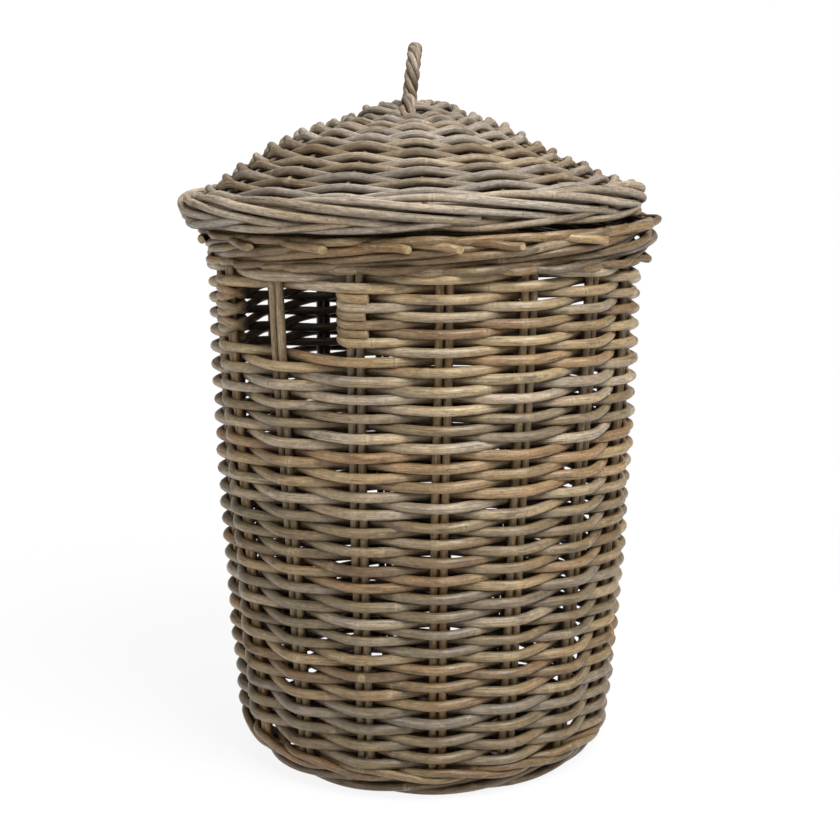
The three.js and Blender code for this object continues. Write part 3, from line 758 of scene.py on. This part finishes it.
def stretches(first, last, passes, gap, butt_joints=0.0):
    """The passes of each cane of a spiral; most of them end on the inside of the weave."""
    at = first
    while at < last:
        end = at + 2 * round(rng.uniform(*passes) / 2)
        if butt_joints > 0:
            end += rng.random() < butt_joints
        end -= at % 2
        if last - end < passes[0]:
            end = last
        start, stop = at + gap, end - gap
        yield np.linspace(start, stop, int((stop - start) * SUBSTEPS) + 1)
        at = end


def wall_canes(first, last):
    return [wall_cane(p) for p in stretches(first, last, CANE_PASSES, CANE_GAP, BUTT_JOINTS)]


def round_edge(row, stake, direction, step, turn):
    """Points of a cane that turns round the edge stake of a hand hole; turn is 0 outside and pi inside."""
    passes = STAKES * (row + step * turn / math.pi) + stake
    z = row_height(passes, stake_angle(stake)) - PASS_SAG * np.cos(turn)
    angle = wall_angle(stake, z.mean())
    middle = polar(angle, wall_radius(z) + WEAVER_SWING * np.cos(turn), z)
    return middle + (LEG_MIDDLE + WEAVER_SWING * np.sin(turn))[:, None] * around(angle) * direction


def turn_back(row, stake, direction):
    """Half a turn round the edge stake of a hand hole, up to the next row."""
    turn = np.linspace(0, math.pi, SUBSTEPS)
    if (row + stake) % 2 == 1:
        return round_edge(row, stake, direction, 1, turn)
    return round_edge(row + 1, stake, direction, -1, turn[::-1])


def hole_cane(path, z, knots=True):
    tone = wall_tone(z)
    diameter = WEAVER_D * rng.uniform(*HOLE_SIZES)
    return Cane(path, diameter, tone, knots=knots, step=FINE_STEP, depth=depth_in_wall(path))


def edge_band(row, stake, direction, step):
    """A short cane round the edge stake of a hand hole, in a row where the long cane lies inside."""
    turned = round_edge(row, stake, direction, step, np.linspace(0, math.pi, SUBSTEPS))
    angle = wall_angle(stake, turned[0][2])
    back = -direction * around(angle)
    out = np.array([math.cos(angle), math.sin(angle), 0])
    front_end = turned[0] + back * rng.uniform(*BAND_OUTSIDE) - out * BAND_SINK
    inside_end = turned[-1] + back * BAND_INSIDE
    path = np.vstack([front_end, turned[0] + back * LEG_MIDDLE, turned, inside_end])
    return hole_cane(path, turned[0][2], knots=False)


def hole_panel(start, far):
    """The cane of the rows between the hand holes, cut into a few lengths."""
    last_row = ROWS_BELOW_HOLES + HOLE_ROWS - 1
    tucked = np.linspace(0, HOLE_TUCK, SUBSTEPS)
    runs = []
    for row in range(ROWS_BELOW_HOLES, last_row + 1):
        ends = (start, far) if (row - ROWS_BELOW_HOLES) % 2 == 0 else (far, start)
        direction = 1 if ends[1] > ends[0] else -1
        stakes = np.linspace(*ends, abs(far - start) * SUBSTEPS + 1)
        run = [polar(*wall_point(STAKES * row + stakes))]
        if row == ROWS_BELOW_HOLES and (row + start) % 2 == 1:
            run.insert(0, round_edge(row, start, -direction, 0, tucked[::-1]))
        if row < last_row:
            run.append(turn_back(row, ends[1], direction))
        elif (row + ends[1]) % 2 == 1:
            run.append(round_edge(row, ends[1], direction, 0, tucked))
        runs.append(np.vstack(run))
    paths = [np.vstack(runs[pair : pair + 2]) for pair in range(0, HOLE_ROWS, 2)]
    return [hole_cane(path, path[:, 2].mean()) for path in paths]


def hole_bands(stake, direction, step):
    """The short canes at one edge of a hand hole; those that turn upwards begin a row higher."""
    first = ROWS_BELOW_HOLES + (step > 0)
    rows = range(first, first + HOLE_ROWS)
    return [edge_band(row, stake, direction, step) for row in rows if (row + stake) % 2 == 0]


def stake_path(index):
    """A cane folded under the base, with its two legs out to the edge and up the wall."""
    heights = np.linspace(STAKE_TOP - STAKE_DROP, BEND_TOP + BEND_ROOM, 14)
    leg = [(wall_radius(z), z, LEG_MIDDLE) for z in heights]
    bend = np.linspace(0, math.pi / 2, 5)
    leg += [(FOOT_R - BEND_R * (1 - math.cos(a)), BEND_TOP - BEND_R * math.sin(a), LEG_MIDDLE) for a in bend]
    base_z = BEND_TOP - BEND_R
    run = np.linspace(FOOT_R - BEND_R - FLOOR_ROOM, FOLD_R + FLOOR_ROOM, 5)
    leg += [(r, base_z, LEG_MIDDLE) for r in run]
    fold = np.linspace(FOLD_FROM, math.pi / 2, 4)
    leg += [(FOLD_R - FOLD_BEND_R * math.sin(a), base_z, FOLD_BEND_R * math.cos(a)) for a in fold]
    points = []
    for r, z, sideways in leg + [(r, z, -s) for r, z, s in leg[-2::-1]]:
        angle = wall_angle(index, z)
        points.append(polar(angle, r, z) + sideways * around(angle))
    return curve_through(points, per_span=6)


def build_stakes():
    for i in range(STAKES):
        cane = Cane(stake_path(i), STAKE_D, tone_near(*STAKE_TONE))
        number = f"{i + 1:02d}"
        build_piece(f"stake_pair_{number}", [cane], "stakes", "basket", f"stake_{number}")


def build_wall():
    passes_below = ROWS_BELOW_HOLES * STAKES - 1
    for i in range(WALL_WEAVERS):
        last = passes_below if i == WALL_WEAVERS - 1 else (i + 1) * PASSES_PER_WEAVER
        canes = wall_canes(i * PASSES_PER_WEAVER, last)
        build_piece(f"wall_weave_{i + 1}", canes, "wall", "basket", f"wall_weaver_{i + 1}")
    near, far = 1, SECOND_HOLE_STAKE - 1
    front = hole_panel(near, far) + hole_bands(near, -1, 1) + hole_bands(far, 1, -1)
    build_piece("hole_weave_front", front, "wall", "basket", "hole_weaver_front")
    near, far = STAKES - 1, SECOND_HOLE_STAKE + 1
    back = hole_panel(far, near) + hole_bands(near, 1, -1) + hole_bands(far, -1, -1)
    build_piece("hole_weave_back", back, "wall", "basket", "hole_weaver_back")
    first = (ROWS_BELOW_HOLES + HOLE_ROWS) * STAKES - 1
    top = wall_canes(first, first + TOP_PASSES)
    build_piece("top_weave", top, "wall", "basket", "top_weaver")


def eased(values, passes):
    """Values given at whole passes, with soft turns between them."""
    low = np.floor(passes).astype(int)
    share = (1 - np.cos(math.pi * (passes - low))) / 2
    values = np.asarray(values)
    return values[low % len(values)] * (1 - share) + values[(low + 1) % len(values)] * share


def wale_cane(index):
    """One cane of the wale: outside two stakes, sinking as it goes, then inside one."""
    passes = np.linspace(0, STAKES + WALE_LAP, STAKES * SUBSTEPS)
    phase = passes + index
    inside = -WEAVER_SWING - WALE_INSIDE
    outside = STAKE_D / 2 + BORDER_D / 2 + PASS_CLEARANCE
    drop = eased((0.0, BORDER_D / 2, -BORDER_D / 2), phase)
    z = WALE_Z + drop
    stakes_r = WALE_R - outside - WALE_LEAN * (WALE_Z - z)
    r = stakes_r + eased((inside, outside, outside), phase)
    return Cane(polar(stake_angle(passes), r, z), BORDER_D * WALE_SIZE, tone_near(*WALE_TONE))


def rope_offset(strands, diameter):
    """From the middle of a rope to the middle of its strands."""
    return diameter / (2 * math.sin(math.pi / strands)) * ROPE_SLACK


def rope_paths(r, z, turns, strands, diameter):
    """The strands of a twisted ring; the ends of each one meet."""
    angle = np.linspace(0, math.tau, ROPE_POINTS)
    offset = rope_offset(strands, diameter)
    paths = []
    for i in range(strands):
        turn = turns * angle + math.tau * i / strands
        paths.append(polar(angle, r + offset * np.cos(turn), z + offset * np.sin(turn)))
    return paths


def build_foot():
    wale = [wale_cane(i) for i in range(WALE_CANES)]
    build_piece("foot_wale", wale, "borders", "basket", "foot_wale_upper", "foot_wale_lower")
    rope_z = rope_offset(FOOT_ROPE_STRANDS, BORDER_D) + BORDER_D / 2 * FOOT_ROOM
    paths = rope_paths(FOOT_ROPE_R, rope_z, FOOT_ROPE_TURNS, FOOT_ROPE_STRANDS, BORDER_D)
    rope = [Cane(path, BORDER_D, tone_near(*FOOT_ROPE_TONE)) for path in paths]
    build_piece("foot_rope", rope, "borders", "basket", "foot_ring")


def build_base():
    passes = np.linspace(0, BASE_ROWS * STAKES, BASE_ROWS * STAKES * SUBSTEPS)
    r = BASE_WEAVE_R + ROW_PITCH * passes / STAKES
    z = BASE_Z + WEAVER_SWING * weave_wave(passes)
    weave = Cane(polar(stake_angle(passes), r, z), WEAVER_D, BASE_WEAVE_TONE, inside=upwards)
    build_piece("base_weave", [weave], "wall", "basket", "base_weaver")
    turns = (BASE_COIL_R[1] - BASE_COIL_R[0]) / ROW_PITCH
    turn = np.linspace(0, turns, int(turns * COIL_POINTS))
    coil_z = BASE_Z + STAKE_D / 2 + WEAVER_D / 2 + PASS_CLEARANCE
    path = polar(math.tau * turn, BASE_COIL_R[0] + ROW_PITCH * turn, coil_z)
    coil = Cane(path, WEAVER_D, BASE_COIL_TONE, inside=upwards)
    build_piece("base_coil", [coil], "wall", "basket", "base_centre_coil")


def lid_placement():
    """The lid's own frame in the basket's: off centre and tilted, as the outer border of the frame lies."""
    boxes = [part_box("lid_border_outer_1"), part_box("lid_border_outer_2")]
    low = Vector([min(b[0][k] for b in boxes) for k in range(3)])
    high = Vector([max(b[1][k] for b in boxes) for k in range(3)])
    tilt = Matrix.Rotation(LID_TILT, 4, Vector(around(LID_LOW_SIDE)))
    origin = (low + high) / 2 - tilt @ Vector((0, 0, LID_EDGE_Z))
    origin += LID_NUDGE * Vector((math.cos(LID_FULL_SIDE), math.sin(LID_FULL_SIDE), 0))
    return np.array(Matrix.Translation(origin) @ tilt)


LID_PLACE = lid_placement()


def on_lid(points):
    return points @ LID_PLACE[:3, :3].T + LID_PLACE[:3, 3]


def rim_face(angle):
    return RIM_FACE_R + RIM_SHIFT * math.cos(angle - RIM_SHIFT_TOWARDS)


def rim_top(angle):
    """Height of the middle of the topmost border cane, which lies close under the tilted lid."""
    normal = LID_PLACE[:3, 2]
    origin = LID_PLACE[:3, 3]
    flat = polar(angle, rim_face(angle), 0)
    underside = np.dot(origin - flat, normal) / normal[2]
    return underside - BORDER_D / 2 - RIM_LID_GAP


def rim_path(index, route, depth, r_spread, z_spread):
    """A curve along the rim, by stakes ahead, share of the way out to the face, and height."""
    points = []
    for ahead, share, z in route:
        angle = stake_angle(index + ahead)
        r = MOUTH_R + share * (rim_face(angle) - MOUTH_R) - depth * smooth(share)
        points.append(polar(angle, r + uneven(r_spread), z + uneven(z_spread)))
    return curve_through(points)


def rim_cane(index, layer):
    """A border cane: out between two stakes, up across the face, over the top and in."""
    low = RIM_LOW_Z
    up = RIM_RUN + RIM_CLIMB
    start = index + RIM_LAYER_STEP * layer
    top = rim_top(stake_angle(start + up))
    route = [
        (0.1, -0.33, low + 0.009),
        (0.5, 0.0, low + 0.006),
        (0.85, 0.26, low + 0.002),
        (1.2, 0.46, low),
        (RIM_RUN, 0.6, low + 0.0004),
        (up - RIM_CLIMB / 2, 0.88, (low + top) / 2),
        (up, 0.92, top - 0.0005),
        (up + 0.45, 0.55, top + 0.0003),
        (up + 0.9, 0.0, top),
        (up + 1.35, -0.28, top - 0.004),
    ]
    path = rim_path(start, route, RIM_LAYER_DEPTH * layer, *RIM_UNEVEN)
    return Cane(path, BORDER_D * rng.uniform(*RIM_SIZES), tone_near(*RIM_TONE))


def rim_end(index):
    """A cut end that comes over the rim and sticks out of its face."""
    top = rim_top(stake_angle(index))
    route = [
        (-0.62, 0.4, top - 0.003),
        (-0.3, 0.9, top - 0.004),
        (-0.08, 1.14, top - 0.0055),
        (0.06, 1.24, top - 0.007),
    ]
    path = rim_path(index, route, 0.0, *RIM_END_UNEVEN)
    tone = tone_near(*RIM_END_TONE)
    slant = rng.uniform(*RIM_END_SLANT)
    diameter = BORDER_D * rng.uniform(*RIM_END_SIZES)
    return Cane(path, diameter, tone, knots=False, step=FINE_STEP, slant=slant)


def build_rim():
    face = []
    for layer in range(RIM_LAYERS):
        face += [rim_cane(i, layer) for i in range(STAKES)]
    strands = [f"rim_outer_strand_{i + 1}" for i in range(3)]
    build_piece("rim_border", face, "borders", "basket", *strands, "rim_top_strand")
    behind = [STAKES - 2 - i + uneven(RIM_END_STRAY) for i in range(RIM_ENDS_BEHIND)]
    ends = [rim_end(place) for place in RIM_ENDS_FRONT + tuple(behind)]
    build_piece("rim_cut_ends", ends, "borders", "basket")
    low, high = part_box("rim_inner_strand")
    lining_z = (low.z + high.z) / 2
    passes = np.linspace(0, STAKES, STAKES * SUBSTEPS)
    lining_r = high.x - BORDER_D / 2 + LINING_WAVE * np.sin(passes * math.pi)
    lining = []
    for z in (lining_z - BORDER_D / 2, lining_z + BORDER_D / 2):
        path = polar(stake_angle(passes), lining_r, z)
        lining.append(Cane(path, BORDER_D, tone_near(*RIM_LINING_TONE)))
    build_piece("rim_lining", lining, "borders", "basket", "rim_inner_strand")


def rib_height(r):
    """Height of the ribs at a radius: two slopes and a flat crown, with soft bends between them."""
    outer = LID_EDGE_R - soft_max(r, SHOULDER_R, SHOULDER_ROUNDING)
    on_shoulder = soft_min(soft_max(r, LID_CROWN_R, LID_CROWN_ROUNDING), SHOULDER_R, SHOULDER_ROUNDING)
    return LID_EDGE_Z + LID_LIFT + outer * LID_SLOPE + (SHOULDER_R - on_shoulder) * SHOULDER_SLOPE


def above_ribs(angle, r, offset):
    """Points this far off the ribs' middle line, square to the slope."""
    slope = (rib_height(r - SLOPE_PROBE) - rib_height(r + SLOPE_PROBE)) / (2 * SLOPE_PROBE)
    steep = np.sqrt(1 + slope * slope)
    middle, reach = LID_BULGE_R
    bulge = LID_BULGE * np.cos(angle - LID_FULL_SIDE) * np.exp(-(((r - middle) / reach) ** 2))
    return polar(angle, r + offset * slope / steep, rib_height(r) + bulge + offset / steep)


def lid_cane(passes):
    r = LID_WEAVE_R + LID_ROW_PITCH * passes / STAKES + Wobble(*LID_WOBBLE_R)(passes)
    swing = LID_SWING * rng.uniform(*LID_SWINGS)
    offset = swing * weave_wave(passes) + Wobble(*LID_WOBBLE_Z)(passes)
    path = on_lid(above_ribs(stake_angle(passes), r, offset))
    diameter = LID_WEAVER_D * rng.uniform(*LID_SIZES)
    tone = tone_near(*LID_TONE)
    # painted shade deep in the lid's weave
    depth = LID_RECESS_SHADE * depth_in_weave(offset, LID_SWING)
    return Cane(path, diameter, tone, inside=under_lid, step=LID_STEP, depth=depth)


def lid_canes(first, last):
    return [lid_cane(p) for p in stretches(first, last, LID_CANE_PASSES, LID_CANE_GAP)]


def crown_canes():
    """The middle of the lid, woven over fewer spokes."""
    rows = (LID_WEAVE_R - CROWN_START_R) / LID_ROW_PITCH
    passes = np.linspace(0, rows * CROWN_SPOKES, int(rows * CROWN_SPOKES * SUBSTEPS))
    r = CROWN_START_R + LID_ROW_PITCH * passes / CROWN_SPOKES
    offset = CROWN_LIFT + LID_SWING * weave_wave(passes)
    angle = stake_angle(0) + passes * math.tau / CROWN_SPOKES
    path = on_lid(above_ribs(angle, r, offset))
    weave = Cane(path, LID_WEAVER_D * CROWN_SIZE, CROWN_TONE, inside=downwards, step=FINE_STEP)
    turn = np.linspace(0, HEART_TURNS, COIL_POINTS)
    heart_z = rib_height(0.0) + 2 * CROWN_LIFT
    path = on_lid(polar(math.tau * turn, HEART_START_R + HEART_PITCH * turn, heart_z))
    heart = Cane(path, LID_WEAVER_D * HEART_SIZE, HEART_TONE, downwards, knots=False, step=FINE_STEP)
    return [weave, heart]


def rib_cane(index):
    r = np.linspace(RIB_START_R, LID_EDGE_R, RIB_POINTS)
    row = (r - LID_WEAVE_R) / LID_ROW_PITCH - index / STAKES
    woven = smooth(row + 0.5)
    offset = RIB_SWING * woven * np.cos(math.pi * (row + index))
    path = on_lid(above_ribs(stake_angle(index), r, offset))
    return Cane(path, RIB_D, tone_near(*RIB_TONE), inside=downwards, step=FINE_STEP)


def lid_border_cane(index, route, tone, sizes):
    """A cane of the lid's border; the route's steps are ribs ahead, radius and height."""
    points = []
    for ahead, r, z in route:
        r += uneven(LID_BORDER_UNEVEN)
        z += uneven(LID_BORDER_UNEVEN)
        points.append(polar(stake_angle(index + ahead), r, z))
    path = on_lid(curve_through(points))
    tone = tone_near(*tone)
    diameter = LID_BORDER_D * rng.uniform(*sizes)
    return Cane(path, diameter, tone, inside=under_lid, step=LID_STEP)


def build_lid():
    for i in range(STAKES // 2):
        canes = [rib_cane(2 * i), rib_cane(2 * i + 1)]
        build_piece(f"lid_ribs_{i + 1}", canes, "stakes", "lid", f"lid_rib_pair_{i + 1}")
    build_piece("lid_rib_last", [rib_cane(STAKES - 1)], "stakes", "lid", "lid_rib_single")
    passes = LID_ROWS * STAKES
    share = passes // LID_WEAVERS // 2 * 2
    for i in range(LID_WEAVERS):
        last = passes if i == LID_WEAVERS - 1 else (i + 1) * share
        canes = lid_canes(i * share, last)
        build_piece(f"lid_weave_{i + 1}", canes, "lid", "lid", f"lid_weaver_{i + 1}")
    build_piece("lid_crown", crown_canes(), "lid", "lid", "lid_crown_coil")
    edge = lid_canes(passes, passes + LID_EDGE_ROWS * STAKES - 1)
    build_piece("lid_edge_weave", edge, "lid", "lid", "lid_border_top_1", "lid_border_top_2")
    angle = np.linspace(0, math.tau, CORE_POINTS)
    core = [on_lid(polar(angle, r, z)) for r, z in LID_CORE]
    border = [Cane(path, LID_BORDER_D, tone_near(*LID_CORE_TONE), inside=downwards) for path in core]
    for i in range(STAKES):
        border.append(lid_border_cane(i, LID_BORDER_ROUTE, LID_BORDER_TONE, LID_BORDER_SIZES))
    for i in range(LID_EDGE_CANES):
        place = i * STAKES / LID_EDGE_CANES + uneven(LID_EDGE_STRAY)
        border.append(lid_border_cane(place, LID_EDGE_ROUTE, LID_EDGE_TONE, LID_EDGE_SIZES))
    build_piece("lid_border", border, "lid", "lid", "lid_border_outer_1", "lid_border_outer_2")
    seat_z = LID_SEAT_D + LID_SEAT_GAP
    paths = rope_paths(LID_SEAT_R, seat_z, -LID_SEAT_TURNS, LID_SEAT_STRANDS, LID_SEAT_D * LID_SEAT_LAY)
    diameter = LID_SEAT_D * LID_SEAT_SIZE
    seat = [Cane(on_lid(path), diameter, tone_near(*LID_SEAT_TONE), inside=downwards) for path in paths]
    build_piece("lid_seat_rope", seat, "lid", "lid", "lid_border_under_1", "lid_border_under_2")


def handle_root(beyond):
    """Height above the foot of the loop, and way outwards, of the rope this far beyond the loop."""
    straight = math.exp(-beyond / HANDLE_ROOT_BEND)
    outwards = beyond - HANDLE_ROOT_BEND * (1 - straight)
    lying = rib_height(HANDLE_REACH + outwards) + CROWN_TOP
    rise = (HANDLE_FOOT_Z - rib_height(HANDLE_REACH) - CROWN_TOP) * straight**HANDLE_ROOT_DROP
    sunk = HANDLE_ROOT_SINK * smooth(beyond / HANDLE_ROOT, HANDLE_SINK_FROM, 1)
    return lying + rise - sunk - HANDLE_FOOT_Z, outwards


def handle_strand(index):
    """A strand of the handle's twisted loop, whose ends bend outwards and dive into the crown."""
    arc = math.pi * HANDLE_REACH
    length = 2 * HANDLE_LEG + arc
    points = []
    for distance in np.linspace(-HANDLE_ROOT, length + HANDLE_ROOT, HANDLE_POINTS):
        on_loop = min(max(distance, 0), length)
        beyond = abs(distance - on_loop)
        bend = min(max((on_loop - HANDLE_LEG) / arc, 0), 1) * math.pi
        x = -HANDLE_REACH * math.cos(bend)
        z = HANDLE_REACH * math.sin(bend) + min(on_loop, HANDLE_LEG, length - on_loop)
        down, outwards = handle_root(beyond)
        middle = np.array([x + math.copysign(outwards, x), 0, z + (down if beyond > 0 else 0)])
        lie = bend + math.copysign(1 - math.exp(-beyond / HANDLE_ROOT_BEND), -x) * math.pi / 2
        out = np.array([-math.cos(lie), 0, math.sin(lie)])
        turn = math.tau * (HANDLE_TURNS * distance / length + index / HANDLE_STRANDS)
        offset = HANDLE_D * HANDLE_LAY * (1 + HANDLE_ROOT_SPREAD * smooth(beyond / HANDLE_ROOT))
        points.append(middle + offset * (out * math.cos(turn) + np.array([0, 1, 0]) * math.sin(turn)))
    lean = Matrix.Rotation(HANDLE_TOWARDS, 3, "Z") @ Matrix.Rotation(HANDLE_LEAN, 3, "X")
    points = np.array(points) @ np.array(lean).T + np.array([0, 0, HANDLE_FOOT_Z])
    tone = tone_near(*HANDLE_TONE)
    return Cane(on_lid(curve_through(points, per_span=3)), HANDLE_D, tone, inside=downwards, step=FINE_STEP)


def build_handle():
    for i in range(HANDLE_STRANDS):
        strand = [handle_strand(i)]
        build_piece(f"handle_cane_{i + 1}", strand, "handle", "lid", f"handle_strand_{i + 1}")


def seen_white(shader):
    """White where the camera sees it, with a share of the diffuse shading near the basket for its shadow."""
    paths = shader.node("ShaderNodeLightPath").outputs
    seen = shader.math("MAXIMUM", paths["Is Camera Ray"], paths["Is Glossy Ray"])
    place = shader.node("ShaderNodeNewGeometry").outputs["Position"]
    length = shader.node("ShaderNodeVectorMath", {0: place}, operation="LENGTH").outputs["Value"]
    glowing = shader.span(length, *SHADOW_FADE, 1 - SHADOW_KEPT, 1)
    glow = shader.node("ShaderNodeEmission").outputs[0]
    inputs = {0: shader.math("MULTIPLY", seen, glowing), 1: shader.surface.outputs[0], 2: glow}
    mixed = shader.node("ShaderNodeMixShader", inputs).outputs[0]
    shader.fill(shader.tree.nodes["Material Output"], {"Surface": mixed})


def build_stage():
    mesh = bpy.data.meshes.new("floor")
    corners = [(FLOOR_REACH * x, FLOOR_REACH * y, 0) for x, y in ((-1, -1), (1, -1), (1, 1), (-1, 1))]
    mesh.from_pydata(corners, [], [(0, 1, 2, 3)])
    floor = new_object("floor", mesh)
    shader = Shader(bpy.data.materials.new("floor"))
    shader.fill(shader.surface, {"Base Color": FLOOR_COLOR, "Roughness": FLOOR_ROUGHNESS})
    seen_white(shader)
    mesh.materials.append(shader.owner)

    world = bpy.data.worlds.new("studio")
    bpy.context.scene.world = world
    shader = Shader(world, "Background")
    shader.fill(shader.surface, {"Color": WHITE, "Strength": AMBIENT})
    white = shader.node("ShaderNodeBackground", {"Color": WHITE}).outputs[0]
    seen = shader.node("ShaderNodeLightPath").outputs["Is Camera Ray"]
    mixed = shader.node("ShaderNodeMixShader", {0: seen, 1: shader.surface.outputs[0], 2: white}).outputs[0]
    shader.fill(shader.tree.nodes["World Output"], {"Surface": mixed})

    for name, settings in LIGHTS.items():
        add_light(name, *settings)


def add_light(name, azimuth, elevation, distance, size, power):
    """A square soft box; azimuth is degrees round from the camera, to the right."""
    data = bpy.data.lights.new(name, "AREA")
    data.size = size
    data.energy = power
    light = new_object(name, data)
    angle = CAMERA_TOWARDS + math.radians(azimuth)
    flat = distance * math.cos(math.radians(elevation))
    target = Vector((0, 0, LIGHT_TARGET_Z))
    height = distance * math.sin(math.radians(elevation))
    light.location = target + Vector((flat * math.cos(angle), flat * math.sin(angle), height))
    light.rotation_euler = (target - light.location).to_track_quat("-Z", "Y").to_euler()


def build_camera():
    data = bpy.data.cameras.new("camera")
    data.sensor_width = SENSOR_MM
    data.lens = FOCAL_PIXELS * SENSOR_MM / IMAGE_PIXELS
    camera = new_object("camera", data)
    away = Vector((math.cos(CAMERA_TOWARDS), math.sin(CAMERA_TOWARDS), 0))
    camera.location = away * CAMERA_DISTANCE + Vector((0, 0, CAMERA_Z))
    heading = CAMERA_TOWARDS + math.pi / 2 + CAMERA_YAW
    camera.rotation_euler = (math.pi / 2 - CAMERA_PITCH, 0, heading)
    bpy.context.scene.camera = camera


build_camera()
build_stakes()
build_wall()
build_foot()
build_base()
build_rim()
build_lid()
build_handle()
build_stage()
bpy.context.scene.view_settings.view_transform = "Standard"
